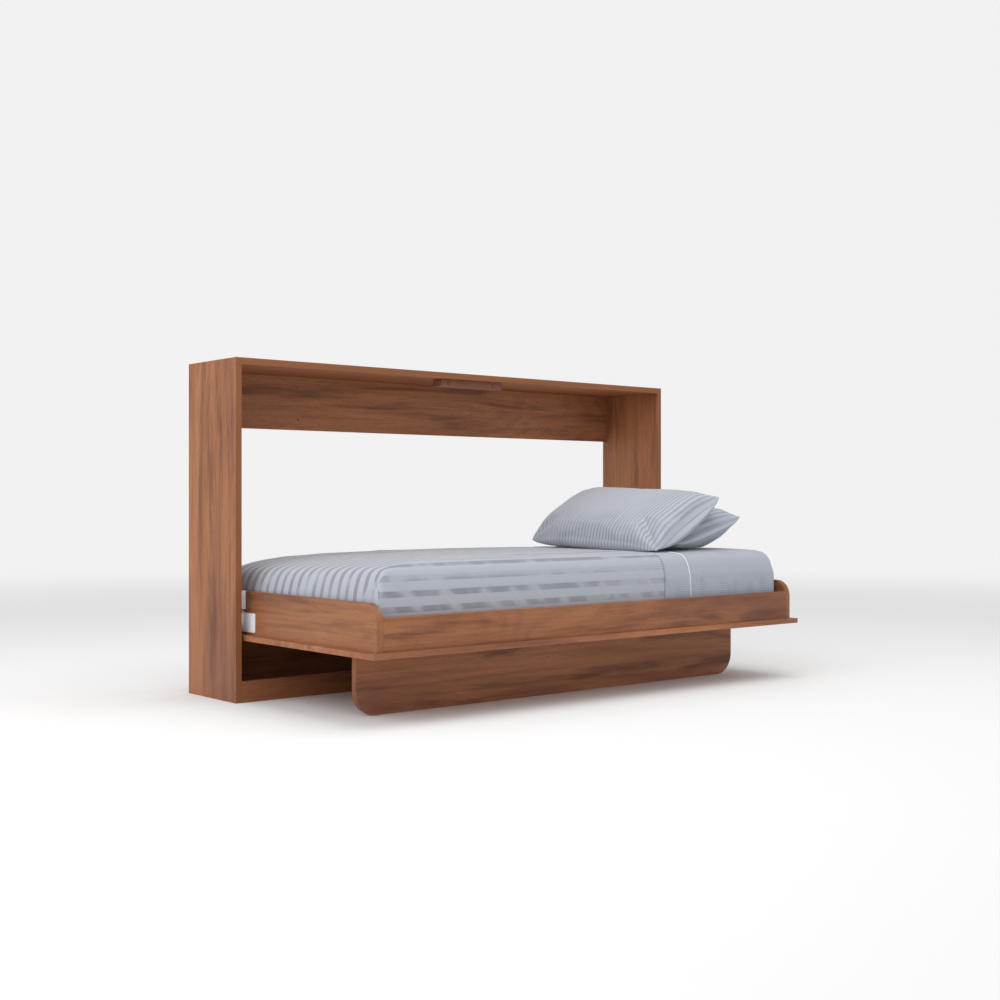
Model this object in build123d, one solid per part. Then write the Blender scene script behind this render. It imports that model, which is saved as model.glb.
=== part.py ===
from build123d import *
import os

# Side-tilting wall bed, shown open. Millimetres, +Z up, +X to the head end, -Y into the room.
# The origin is on the floor, under the middle of the open bed's plan outline.

# ---- driving dimensions ----
WIDTH = 2083.0              # outside width of the cabinet
HEIGHT = 1175.0             # cabinet height
DEPTH = 338.0               # cabinet depth, front edge to wall
OPEN_DEPTH = 1102.0         # wall to the front edge of the lowered bed
PANEL_T = 23.0              # cabinet sides and top, and the leg
RAIL_T = 19.0               # back rail and back board
KICK_T = 22.0
EDGE_R = 0.8                # eased panel edges

UPPER_RAIL_H = 199.0
KICK_H = 71.5
BACK_BOARD_H = 190.0        # low enough for the swinging rear corner of the bed

HALF = WIDTH / 2
BACK_Y = OPEN_DEPTH / 2
FRONT_Y = BACK_Y - DEPTH    # front plane of the cabinet
INNER_X = HALF - PANEL_T    # inner face of a cabinet side
TOP_Z = HEIGHT - PANEL_T    # underside of the top panel

# ---- bed box ----
FACE_T = 18.0
FACE_Z = 210.0              # underside of the face panel, also the height of the leg space
FACE_GAP = 12.0             # face panel to cabinet side
FACE_REAR_Y = FRONT_Y + 301.0
BOARD_T = 25.0
BOARD_GAP = 37.0            # end board to cabinet side: room for the hinges and springs
BOARD_INSET = 19.5          # face panel front edge to the boards standing on it
BOARD_H = 148.0
BOARD_CORNER_R = 60.0
RAIL_H = 105.0
REAR_INSET = 20.0

FACE_X = INNER_X - FACE_GAP
FACE_TOP = FACE_Z + FACE_T
FACE_FRONT_Y = -OPEN_DEPTH / 2
BOARD_OUT_X = INNER_X - BOARD_GAP
BOARD_IN_X = BOARD_OUT_X - BOARD_T
BOARD_FRONT_Y = FACE_FRONT_Y + BOARD_INSET
BOARD_REAR_Y = FACE_REAR_Y - REAR_INSET
BED_IN_FRONT_Y = BOARD_FRONT_Y + BOARD_T
BED_IN_REAR_Y = BOARD_REAR_Y - BOARD_T

# ---- slatted base ----
BEARER_W = 25.0
BEARER_H = 38.0
MIDDLE_BEARER_W = 60.0
SLAT_COUNT = 14
SLAT_W = 68.0
SLAT_T = 20.0
SLAT_END_GAP = 2.0
SLAT_FIRST_X = 60.0         # end board to the edge of the first slat
SLAT_Z = FACE_TOP + BEARER_H
SLAT_EDGE_R = 3.0
SLAT_SCREW_SHIFT = 1.0      # past the middle of the bearer, away from the rail

# ---- bedding ----
BED_Z = SLAT_Z + SLAT_T     # the mattress lies on the slats
MATTRESS_L = 1890.0
MATTRESS_W = 952.0
MATTRESS_H = 202.0
MATTRESS_CORNER_R = 45.0    # upright corners
MATTRESS_TOP_R = 40.0       # top edge
FITTED_T = 2.0
FLAT_T = 2.0
COVERLET_T = 5.0
FLAT_END_X = 450.0          # head edge of the turned-down flat sheet
COVERLET_END_X = 305.0      # head edge of the coverlet
SHEET_HEM_Z = BED_Z + 12.0
FLAT_HEM_Z = BED_Z + 16.0
COVERLET_HEM_Z = BED_Z + 22.0
MATTRESS_Y = (BED_IN_FRONT_Y + BED_IN_REAR_Y) / 2

# ---- pillows: (length, width, crown above its seam, crown below, x, y, z, tilt) ----
# The back pillow lies on the mattress, and the front pillow leans on it.
BACK_PILLOW = (450.0, 725.0, 62.0, 66.0, 693.0, -30.0, 579.0, 14.0)
FRONT_PILLOW = (464.0, 735.0, 85.0, 26.0, 547.0, -45.0, 620.0, 29.3)

# ---- main pivot and gas springs, in one plane between end board and cabinet side ----
PIVOT_Y = FRONT_Y + 83.0
PIVOT_Z = 293.0
PIN_R = 8.0
RUNNING = 0.05              # radial running clearance
BUSH_R = 12.0
BUSH_COLLAR_R = 15.0
BUSH_COLLAR_T = 2.0
BOSS_R = 17.0
BOSS_L = 13.5
PLATE_T = 3.0
PIN_GAP = 0.5               # pin end to the end board
PIN_CHAMFER = 1.0
CABINET_PLATE = 110.0
PLATE_CORNER_R = 8.0
PLATE_SCREW_IN = 14.0       # screw to the plate's edge
SPRING_X = INNER_X - 14.0
SPRING_TOP_Y = PIVOT_Y - 30.0
SPRING_TOP_Z = PIVOT_Z + 330.0
SPRING_FOOT_Y = PIVOT_Y + 15.0
SPRING_FOOT_Z = PIVOT_Z + 57.0
STUD_R = 5.0
EYE_R = 10.0
EYE_W = 8.0
SOCKET_R = 8.0
TUBE_R = 9.0
TUBE_START = 14.0           # from the upper stud along the spring
TUBE_L = 205.0
TUBE_BOTTOM = 16.0          # closed end of the tube
ROD_R = 4.0
ROD_CLEAR = 0.06
ROD_L = 165.0
TUBE_EDGE_R = 1.5
SOCKET_EDGE_R = 1.0
SOCKET_NECK = 12.0
STUD_GAP = 1.0              # open pivot: stud end to the socket's side
STUD_OVER = 1.0             # upper stud's end past its eye

# ---- hinge bracket outlines, relative to the cabinet front plane ----
BRACKET_FRONT = -27.0
BRACKET_REAR = 150.0
BRACKET_LOW = 238.0
BRACKET_HIGH = 303.0
BRACKET_CREST = 311.0
CREST_START = 55.0
CREST_SLOPE = 10.0
FLANGE_W = 13.0             # how far a folded flange stands out
FLANGE_Y = 47.0
FLANGE_BEND_Z = 262.0
FLANGE_END_Y = 66.0
FLANGE_END_Z = 240.0
SPRING_PLATE_FRONT = 39.0
SPRING_PLATE_REAR = 135.0
SPRING_PLATE_LOW = 315.0
SPRING_PLATE_HIGH = 379.0
FLANGE_BEVEL = 5.0
TOP_PLATE_W = 40.0
TOP_PLATE_H = 60.0
TOP_PLATE_CORNER_R = 5.0
TOP_PLATE_SCREW_Z = 20.0    # screw to the stud
BRACKET_CORNER_R = 3.0
SPRING_PLATE_CORNER_R = 10.0
PIVOT_BRACKET_SCREWS = ((-8.0, 268.0), (30.0, 252.0), (128.0, 254.0), (128.0, 296.0))
SPRING_BRACKET_SCREWS = ((60.0, 330.0), (122.0, 330.0), (60.0, 366.0))

# ---- leg panel and its hinges ----
LEG_X = 901.0
LEG_Y = FRONT_Y - 514.5     # front face
LEG_GAP = 1.0               # leg top to face panel
LEG_CORNER_R = 80.0
HINGE_R = 3.5
HINGE_PIN_R = 1.5
HINGE_OFF = 4.0             # hinge axis to the leg's rear face and to the face panel
HINGE_L = 80.0
HINGE_LEAF = 30.0
HINGE_T = 1.5
KNUCKLE_GAP = 0.5
LEAF_CLEAR = 1.0            # leaf edge to the other leaf's knuckles
LEAF_SCREW_X = 28.0         # from the middle of the hinge
LEAF_SCREW_OFF = 20.0       # from the hinge axis
HINGE_COUNT = 4
HINGE_PITCH = 500.0
HINGE_Y = LEG_Y + PANEL_T + HINGE_OFF
HINGE_Z = FACE_Z - HINGE_OFF

# ---- stop block under the cabinet top ----
STOP_W = 300.0
STOP_D = 48.0
STOP_H = 28.0
STOP_Y = FRONT_Y + FACE_T + 3.0
BUMPER_R = 6.0
BUMPER_T = 2.7
BUMPER_X = 110.0
BUMPER_DROP = 1.0           # below the middle of the block

# ---- fasteners ----
SCREW_R = 2.0
SCREW_HEAD_R = 4.0
SCREW_HEAD_T = 1.2
BOARD_SCREW_L = 18.0
SLAT_SCREW_L = 35.0
LEAF_SCREW_L = 12.0
ANGLE_SCREW_L = 13.0
DOWEL_R = 4.0
DOWEL_IN = 18.0             # in the rail or top
DOWEL_OUT = 12.0            # in the side or end board
TOP_DOWEL_YS = (40.0, 160.0, 280.0)
RAIL_DOWEL_IN = 40.0        # from the edges of the back rail and back board
KICK_DOWEL_IN = 20.0
FRAME_DOWEL_IN = 30.0
WALL_HOLE_R = 3.0
WALL_PITCH_X = 1200.0
WALL_PITCH_Z = 120.0

# ---- angle brackets inside the bed box ----
ANGLE_LEG = 30.0
ANGLE_T = 3.0
ANGLE_L = 40.0
ANGLE_YS = (-440.0, -200.0, 160.0, 400.0)
ANGLE_SCREW_SHIFT = 2.0     # past the middle of the leg, clear of the corner


def block(x0, x1, y0, y1, z0, z1):
    """A box between two corners."""
    centre = ((x0 + x1) / 2, (y0 + y1) / 2, (z0 + z1) / 2)
    return Pos(*centre) * Box(x1 - x0, y1 - y0, z1 - z0)


def eased(solid, radius=EDGE_R):
    """The solid with every edge slightly rounded, as edge banding is."""
    return fillet(solid.edges(), radius)


def rod_x(radius, x0, x1, y, z):
    """A round bar along X."""
    return Pos((x0 + x1) / 2, y, z) * Rot(0, 90, 0) * Cylinder(radius, abs(x1 - x0))


def rod_y(radius, x, y0, y1, z):
    """A round bar along Y."""
    return Pos(x, (y0 + y1) / 2, z) * Rot(90, 0, 0) * Cylinder(radius, abs(y1 - y0))


def rod_z(radius, x, y, z0, z1):
    """A round bar along Z."""
    return Pos(x, y, (z0 + z1) / 2) * Cylinder(radius, abs(z1 - z0))


SCREW_TURNS = {
    "+X": Rot(0, 90, 0),
    "-X": Rot(0, -90, 0),
    "-Y": Rot(90, 0, 0),
    "+Z": Rot(0, 0, 0),
    "-Z": Rot(180, 0, 0),
}


def screw(along, x, y, z, length):
    """A pan-head screw. Its head's seat is at the point and its shank runs 'along'."""
    shank = rod_z(SCREW_R, 0, 0, 0, length)
    head = rod_z(SCREW_HEAD_R, 0, 0, -SCREW_HEAD_T, 0)
    return Pos(x, y, z) * SCREW_TURNS[along] * (shank + head)


def mirrored(solid):
    """The same piece on the foot side, where X is negative."""
    return mirror(solid, about=Plane.YZ)


def both(make):
    """A head-side list and its mirrored foot-side copy."""
    head = list(make())
    return head + [mirrored(s) for s in head]


def less(solid, cutters):
    """The solid with each cutter taken away."""
    return solid - list(cutters)


# ---- dowels ----
def cabinet_dowels():
    def one_side():
        x0 = INNER_X - DOWEL_IN
        x1 = INNER_X + DOWEL_OUT
        top_z = HEIGHT - PANEL_T / 2
        rail_y = BACK_Y - RAIL_T / 2
        for y in TOP_DOWEL_YS:
            yield rod_x(DOWEL_R, x0, x1, FRONT_Y + y, top_z)
        for low, high in ((TOP_Z - UPPER_RAIL_H, TOP_Z), (0, BACK_BOARD_H)):
            yield rod_x(DOWEL_R, x0, x1, rail_y, low + RAIL_DOWEL_IN)
            yield rod_x(DOWEL_R, x0, x1, rail_y, high - RAIL_DOWEL_IN)
        for z in (KICK_DOWEL_IN, KICK_H - KICK_DOWEL_IN):
            yield rod_x(DOWEL_R, x0, x1, FRONT_Y + KICK_T / 2, z)
    return both(one_side)


def frame_dowels():
    def one_side():
        for y in (BOARD_FRONT_Y + BOARD_T / 2, BOARD_REAR_Y - BOARD_T / 2):
            for z in (FACE_TOP + FRAME_DOWEL_IN, FACE_TOP + RAIL_H - FRAME_DOWEL_IN):
                yield rod_x(DOWEL_R, BOARD_IN_X - DOWEL_IN, BOARD_IN_X + DOWEL_OUT, y, z)
    return both(one_side)


# ---- cabinet ----
def side_panel(dowels, screws):
    panel = eased(block(INNER_X, HALF, FRONT_Y, BACK_Y, 0, HEIGHT))
    return less(panel, dowels + screws)


def top_panel(dowels):
    panel = block(-INNER_X, INNER_X, FRONT_Y, BACK_Y, TOP_Z, HEIGHT)
    long_edges = panel.edges().filter_by(Axis.X)
    return less(fillet(long_edges, EDGE_R), dowels)


def upper_back_rail(dowels):
    rail = block(-INNER_X, INNER_X, BACK_Y - RAIL_T, BACK_Y, TOP_Z - UPPER_RAIL_H, TOP_Z)
    lower_edges = rail.edges().filter_by(Axis.X).sort_by(Axis.Z)[:2]
    rail = fillet(lower_edges, EDGE_R)
    middle_z = TOP_Z - UPPER_RAIL_H / 2
    holes = [
        rod_y(WALL_HOLE_R, x, BACK_Y - RAIL_T, BACK_Y, z)
        for x in (-WALL_PITCH_X / 2, WALL_PITCH_X / 2)
        for z in (middle_z - WALL_PITCH_Z / 2, middle_z + WALL_PITCH_Z / 2)
    ]
    return less(rail, dowels + holes)


def lower_back_board(dowels):
    board = block(-INNER_X, INNER_X, BACK_Y - RAIL_T, BACK_Y, 0, BACK_BOARD_H)
    return less(board, dowels)


def kick_rail(dowels):
    rail = block(-INNER_X, INNER_X, FRONT_Y, FRONT_Y + KICK_T, 0, KICK_H)
    upper_edges = rail.edges().filter_by(Axis.X).sort_by(Axis.Z)[-2:]
    return less(fillet(upper_edges, EDGE_R), dowels)


def stop_block():
    body = block(-STOP_W / 2, STOP_W / 2, STOP_Y, STOP_Y + STOP_D, TOP_Z - STOP_H, TOP_Z)
    lower = body.edges().group_by(Axis.Z)[0]
    return fillet(lower, EDGE_R)


def stop_bumpers():
    z = TOP_Z - STOP_H / 2 - BUMPER_DROP
    return [rod_y(BUMPER_R, x, STOP_Y - BUMPER_T, STOP_Y, z) for x in (-BUMPER_X, BUMPER_X)]


def cabinet_pivot_plate(screws):
    half = CABINET_PLATE / 2
    x0 = INNER_X - PLATE_T
    plate = block(x0, INNER_X, PIVOT_Y - half, PIVOT_Y + half, PIVOT_Z - half, PIVOT_Z + half)
    plate = fillet(plate.edges().filter_by(Axis.X), PLATE_CORNER_R)
    hole = rod_x(PIN_R, x0, INNER_X, PIVOT_Y, PIVOT_Z)
    return less(plate, [hole] + screws)


def pivot_pin():
    pin = rod_x(PIN_R, BOARD_OUT_X + PIN_GAP, INNER_X, PIVOT_Y, PIVOT_Z)
    end = pin.edges().sort_by(Axis.X)[0]
    return chamfer(end, PIN_CHAMFER)


def cabinet_spring_plate(screws):
    x0 = INNER_X - PLATE_T
    y0 = SPRING_TOP_Y - TOP_PLATE_W / 2
    z0 = SPRING_TOP_Z - TOP_PLATE_H / 2
    plate = block(x0, INNER_X, y0, y0 + TOP_PLATE_W, z0, z0 + TOP_PLATE_H)
    plate = fillet(plate.edges().filter_by(Axis.X), TOP_PLATE_CORNER_R)
    plate = less(plate, screws)
    stud_tip = SPRING_X - EYE_W / 2 - STUD_OVER
    return plate + rod_x(STUD_R, stud_tip, x0, SPRING_TOP_Y, SPRING_TOP_Z)


def cabinet_plate_screws():
    x = INNER_X - PLATE_T
    reach = CABINET_PLATE / 2 - PLATE_SCREW_IN
    for sy in (-1, 1):
        for sz in (-1, 1):
            yield screw("+X", x, PIVOT_Y + sy * reach, PIVOT_Z + sz * reach, BOARD_SCREW_L)
    for sz in (-1, 1):
        yield screw("+X", x, SPRING_TOP_Y, SPRING_TOP_Z + sz * TOP_PLATE_SCREW_Z, BOARD_SCREW_L)


# ---- bed box ----
def face_panel(screws):
    panel = eased(block(-FACE_X, FACE_X, FACE_FRONT_Y, FACE_REAR_Y, FACE_Z, FACE_TOP))
    return less(panel, screws)


def end_board(dowels, screws):
    board = block(BOARD_IN_X, BOARD_OUT_X, BOARD_FRONT_Y, BOARD_REAR_Y, FACE_TOP, FACE_TOP + BOARD_H)
    top_corners = board.edges().filter_by(Axis.X).sort_by(Axis.Z)[-2:]
    board = fillet(top_corners, BOARD_CORNER_R)
    outlines = [e for e in board.edges() if e.bounding_box().size.X < EDGE_R]
    lip = [e for e in outlines if e.center().Z > FACE_TOP + EDGE_R]
    return less(fillet(lip, EDGE_R), dowels + screws)


def long_rail(y0, dowels):
    rail = block(-BOARD_IN_X, BOARD_IN_X, y0, y0 + BOARD_T, FACE_TOP, FACE_TOP + RAIL_H)
    upper_edges = rail.edges().filter_by(Axis.X).sort_by(Axis.Z)[-2:]
    return less(fillet(upper_edges, EDGE_R), dowels)


def bearer(y0, width, screws):
    body = block(-BOARD_IN_X, BOARD_IN_X, y0, y0 + width, FACE_TOP, SLAT_Z)
    return less(body, screws)


def slat_places():
    first = -BOARD_IN_X + SLAT_FIRST_X + SLAT_W / 2
    step = -2 * first / (SLAT_COUNT - 1)
    return [first + i * step for i in range(SLAT_COUNT)]


def slats(screws):
    y0 = BED_IN_FRONT_Y + SLAT_END_GAP
    y1 = BED_IN_REAR_Y - SLAT_END_GAP
    made = []
    for x in slat_places():
        slat = block(x - SLAT_W / 2, x + SLAT_W / 2, y0, y1, SLAT_Z, BED_Z)
        slat = fillet(slat.edges().filter_by(Axis.Y), SLAT_EDGE_R)
        near = [s for s in screws if abs(s.center().X - x) < SLAT_W / 2]
        made.append(less(slat, near))
    return made


def slat_screws():
    """Countersunk screws: their heads end flush with the top of the slats."""
    made = []
    inside = BEARER_W / 2 + SLAT_SCREW_SHIFT
    for x in slat_places():
        for y in (BED_IN_FRONT_Y + inside, BED_IN_REAR_Y - inside):
            shank = rod_z(SCREW_R, x, y, BED_Z - SLAT_SCREW_L, BED_Z)
            head = Pos(x, y, BED_Z - SCREW_R / 2) * Cone(SCREW_R, SCREW_R * 2, SCREW_R)
            made.append(shank + head)
    return made


def frame_angles(screws):
    def one_side():
        for y in ANGLE_YS:
            y0 = y - ANGLE_L / 2
            y1 = y + ANGLE_L / 2
            upright = block(BOARD_IN_X - ANGLE_T, BOARD_IN_X, y0, y1, FACE_TOP, FACE_TOP + ANGLE_LEG)
            foot = block(BOARD_IN_X - ANGLE_LEG, BOARD_IN_X, y0, y1, FACE_TOP, FACE_TOP + ANGLE_T)
            near = [s for s in screws if abs(s.center().Y - y) < ANGLE_L / 2 and s.center().X > 0]
            yield less(upright + foot, near)
    return both(one_side)


def frame_angle_screws():
    def one_side():
        reach = ANGLE_LEG / 2 + ANGLE_SCREW_SHIFT
        for y in ANGLE_YS:
            yield screw("+X", BOARD_IN_X - ANGLE_T, y, FACE_TOP + reach, ANGLE_SCREW_L)
            yield screw("-Z", BOARD_IN_X - reach, y, FACE_TOP + ANGLE_T, ANGLE_SCREW_L)
    return both(one_side)


# ---- hinge brackets on the end boards ----
def yz_plate(points, x0, x1):
    """A plate between two X planes, its outline given from the cabinet front plane and the floor."""
    outline = Polyline(*[(FRONT_Y + y, z) for y, z in points], close=True)
    face = make_face(Plane.YZ * outline)
    return Pos(x0, 0, 0) * extrude(face, x1 - x0)


def bed_pivot_bracket(screws):
    outline = [
        (BRACKET_FRONT, BRACKET_LOW),
        (BRACKET_REAR, BRACKET_LOW),
        (BRACKET_REAR, BRACKET_CREST),
        (CREST_START, BRACKET_CREST),
        (CREST_START - CREST_SLOPE, BRACKET_HIGH),
        (BRACKET_FRONT, BRACKET_HIGH),
    ]
    x0 = BOARD_OUT_X
    x1 = BOARD_OUT_X + PLATE_T
    plate = yz_plate(outline, x0, x1)
    front_corners = plate.edges().filter_by(Axis.X).sort_by(Axis.Y)[:2]
    plate = fillet(front_corners, BRACKET_CORNER_R)
    slant = (FLANGE_END_Y - FLANGE_Y) / (FLANGE_BEND_Z - FLANGE_END_Z)
    flange = [
        (FLANGE_Y, BRACKET_HIGH),
        (FLANGE_Y, FLANGE_BEND_Z),
        (FLANGE_END_Y, FLANGE_END_Z),
        (FLANGE_END_Y + PLATE_T / slant, FLANGE_END_Z),
        (FLANGE_Y + PLATE_T, FLANGE_BEND_Z),
        (FLANGE_Y + PLATE_T, BRACKET_HIGH),
    ]
    plate += yz_plate(flange, x1, x1 + FLANGE_W)
    plate += rod_x(BOSS_R, x1, x1 + BOSS_L, PIVOT_Y, PIVOT_Z)
    bore = rod_x(BUSH_R, x0, x1 + BOSS_L, PIVOT_Y, PIVOT_Z)
    return less(plate, [bore] + screws)


def pivot_bush():
    x1 = BOARD_OUT_X + PLATE_T + BOSS_L
    bush = rod_x(BUSH_R, BOARD_OUT_X, x1, PIVOT_Y, PIVOT_Z)
    bush += rod_x(BUSH_COLLAR_R, x1, x1 + BUSH_COLLAR_T, PIVOT_Y, PIVOT_Z)
    return bush - rod_x(PIN_R + RUNNING, BOARD_OUT_X, x1 + BUSH_COLLAR_T, PIVOT_Y, PIVOT_Z)


def bed_spring_bracket(screws):
    x0 = BOARD_OUT_X
    x1 = BOARD_OUT_X + PLATE_T
    outline = [
        (SPRING_PLATE_FRONT, SPRING_PLATE_LOW),
        (SPRING_PLATE_REAR, SPRING_PLATE_LOW),
        (SPRING_PLATE_REAR, SPRING_PLATE_HIGH),
        (SPRING_PLATE_FRONT, SPRING_PLATE_HIGH),
    ]
    plate = yz_plate(outline, x0, x1)
    plate = fillet(plate.edges().filter_by(Axis.X).sort_by(Axis.Y)[-2:], SPRING_PLATE_CORNER_R)
    y0 = FRONT_Y + SPRING_PLATE_FRONT
    flange = block(x1, x1 + FLANGE_W, y0, y0 + PLATE_T, SPRING_PLATE_LOW, SPRING_PLATE_HIGH)
    outer = flange.edges().filter_by(Axis.Y).sort_by(Axis.X)[-2:]
    flange = chamfer(outer, FLANGE_BEVEL)
    stud_tip = SPRING_X - EYE_W / 2 - STUD_GAP
    stud = rod_x(STUD_R, x1, stud_tip, SPRING_FOOT_Y, SPRING_FOOT_Z)
    return less(plate, screws) + flange + stud


def bed_bracket_screws():
    x = BOARD_OUT_X + PLATE_T
    for y, z in PIVOT_BRACKET_SCREWS + SPRING_BRACKET_SCREWS:
        yield screw("-X", x, FRONT_Y + y, z, BOARD_SCREW_L)


# ---- gas springs ----
def spring_frame():
    """A frame at the upper stud, its Z axis along the spring towards the bed."""
    reach = Vector(0, SPRING_FOOT_Y - SPRING_TOP_Y, SPRING_FOOT_Z - SPRING_TOP_Z)
    origin = (SPRING_X, SPRING_TOP_Y, SPRING_TOP_Z)
    return Plane(origin=origin, x_dir=(1, 0, 0), z_dir=reach.normalized()), reach.length


def along_spring(radius, start, end):
    frame, _ = spring_frame()
    return frame * Pos(0, 0, (start + end) / 2) * Cylinder(radius, end - start)


def gas_cylinder():
    tube = along_spring(TUBE_R, TUBE_START, TUBE_START + TUBE_L)
    tube = fillet(tube.edges(), TUBE_EDGE_R)
    return tube - along_spring(ROD_R + ROD_CLEAR, TUBE_START + TUBE_BOTTOM, TUBE_START + TUBE_L)


def gas_cylinder_eye():
    eye = rod_x(EYE_R, SPRING_X - EYE_W / 2, SPRING_X + EYE_W / 2, SPRING_TOP_Y, SPRING_TOP_Z)
    eye += along_spring(EYE_W / 2, 0, TUBE_START)
    return eye - rod_x(STUD_R + RUNNING, SPRING_X - EYE_W, SPRING_X + EYE_W, SPRING_TOP_Y, SPRING_TOP_Z)


def gas_rod():
    _, reach = spring_frame()
    end = reach - SOCKET_NECK
    return along_spring(ROD_R, end - ROD_L, end)


def gas_rod_socket():
    _, reach = spring_frame()
    socket = rod_x(SOCKET_R, SPRING_X - EYE_W / 2, SPRING_X + EYE_W / 2, SPRING_FOOT_Y, SPRING_FOOT_Z)
    socket = fillet(socket.edges(), SOCKET_EDGE_R)
    return socket + along_spring(ROD_R, reach - SOCKET_NECK, reach)


# ---- leg panel ----
def leg_panel(screws):
    panel = block(-LEG_X, LEG_X, LEG_Y, LEG_Y + PANEL_T, 0, FACE_Z - LEG_GAP)
    lower_corners = panel.edges().filter_by(Axis.Y).sort_by(Axis.Z)[:2]
    panel = fillet(lower_corners, LEG_CORNER_R)
    rims = [e for e in panel.edges() if e.bounding_box().size.Y < EDGE_R]
    return less(fillet(rims, EDGE_R), screws)


def hinge_places():
    first = -HINGE_PITCH * (HINGE_COUNT - 1) / 2
    return [first + i * HINGE_PITCH for i in range(HINGE_COUNT)]


def hinge_fixed_leaves(screws):
    made = []
    third = HINGE_L / 3
    for x in hinge_places():
        x0 = x - HINGE_L / 2
        x1 = x + HINGE_L / 2
        under = FACE_Z - HINGE_T
        notch_end = HINGE_Y + HINGE_R + LEAF_CLEAR
        leaf = block(x0, x1, HINGE_Y, HINGE_Y + HINGE_LEAF, under, FACE_Z)
        leaf -= block(x0 + third, x1 - third, HINGE_Y - HINGE_R, notch_end, under, FACE_Z)
        for a, b in ((x0, x0 + third), (x1 - third, x1)):
            leaf += rod_x(HINGE_R, a, b, HINGE_Y, HINGE_Z)
        near = [s for s in screws if abs(s.center().X - x) < HINGE_L / 2]
        leaf = less(leaf, near)
        made.append(leaf - rod_x(HINGE_PIN_R, x0, x1, HINGE_Y, HINGE_Z))
    return made


def hinge_moving_leaves(screws):
    made = []
    third = HINGE_L / 3
    back = LEG_Y + PANEL_T
    for x in hinge_places():
        x0 = x - HINGE_L / 2
        x1 = x + HINGE_L / 2
        a = x0 + third + KNUCKLE_GAP
        b = x1 - third - KNUCKLE_GAP
        low = HINGE_Z - HINGE_LEAF
        leaf = block(x0, x1, back, back + HINGE_T, low, HINGE_Z - HINGE_R - LEAF_CLEAR)
        leaf += block(a, b, back, back + HINGE_T, low, HINGE_Z)
        leaf += rod_x(HINGE_R, a, b, HINGE_Y, HINGE_Z)
        near = [s for s in screws if abs(s.center().X - x) < HINGE_L / 2]
        leaf = less(leaf, near)
        made.append(leaf - rod_x(HINGE_PIN_R + RUNNING, a, b, HINGE_Y, HINGE_Z))
    return made


def hinge_pins():
    return [rod_x(HINGE_PIN_R, x - HINGE_L / 2, x + HINGE_L / 2, HINGE_Y, HINGE_Z) for x in hinge_places()]


def leaf_screw_xs():
    return [x + side * LEAF_SCREW_X for x in hinge_places() for side in (-1, 1)]


def hinge_face_screws():
    y = HINGE_Y + LEAF_SCREW_OFF
    return [screw("+Z", x, y, FACE_Z - HINGE_T, LEAF_SCREW_L) for x in leaf_screw_xs()]


def hinge_leg_screws():
    y = LEG_Y + PANEL_T + HINGE_T
    return [screw("-Y", x, y, HINGE_Z - LEAF_SCREW_OFF, LEAF_SCREW_L) for x in leaf_screw_xs()]


# ---- bedding: nested skins over the mattress ----
def bedding_body(grow):
    """The mattress outline grown by a thickness on its top and four sides."""
    half_l = MATTRESS_L / 2 + grow
    half_w = MATTRESS_W / 2 + grow
    y0 = MATTRESS_Y - half_w
    y1 = MATTRESS_Y + half_w
    body = block(-half_l, half_l, y0, y1, BED_Z, BED_Z + MATTRESS_H + grow)
    body = fillet(body.edges().filter_by(Axis.Z), MATTRESS_CORNER_R + grow)
    return fillet(body.faces().sort_by(Axis.Z)[-1].edges(), MATTRESS_TOP_R + grow)


def skin(inner, outer, hem_z, head_x):
    """One cloth layer, between two grown outlines, down to its hem and up to its head edge."""
    layer = bedding_body(outer) - bedding_body(inner)
    far = MATTRESS_L
    keep = block(-far, head_x, -far, far, hem_z, BED_Z + far)
    return layer & keep


def mattress():
    return bedding_body(0)


# ---- pillows ----
def lens(length, above, below, width):
    """A prism along Y whose section is two arcs that meet at thin edges."""
    a = (-length / 2, 0)
    b = (length / 2, 0)
    upper = ThreePointArc(a, (0, above), b)
    lower = ThreePointArc(b, (0, -below), a)
    face = make_face(Plane.XZ * (upper + lower))
    return extrude(face, width / 2, both=True)


def pillow(length, width, above, below, x, y, z, tilt):
    along = lens(length, above, below, width)
    across = Rot(0, 0, 90) * lens(width, above, below, length)
    return Pos(x, y, z) * Rot(0, -tilt, 0) * (along & across)


def save(name, solids):
    """Write one node: a single solid, or a group of separate ones."""
    shapes = solids if isinstance(solids, list) else [solids]
    parts = [s for shape in shapes for s in shape.solids()]
    node = parts[0] if len(parts) == 1 else Compound(children=parts)
    export_step(node, f"parts/{name}.step")


def save_pair(name, head_piece):
    """Write a piece for the head side and its mirrored copy for the foot side."""
    save(name + "_right", head_piece)
    save(name + "_left", mirrored(head_piece))


def build_cabinet():
    dowels = cabinet_dowels()
    plate_screws = list(cabinet_plate_screws())
    save_pair("side_panel", side_panel(dowels, plate_screws))
    save("top_panel", top_panel(dowels))
    save("upper_back_rail", upper_back_rail(dowels))
    save("lower_back_board", lower_back_board(dowels))
    save("kick_rail", kick_rail(dowels))
    save("cabinet_dowels", dowels)
    save("stop_block", stop_block())
    save("stop_bumpers", stop_bumpers())
    save_pair("cabinet_pivot_plate", cabinet_pivot_plate(plate_screws))
    save_pair("pivot_pin", pivot_pin())
    save_pair("cabinet_spring_plate", cabinet_spring_plate(plate_screws))
    save("cabinet_plate_screws", both(lambda: plate_screws))


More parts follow.
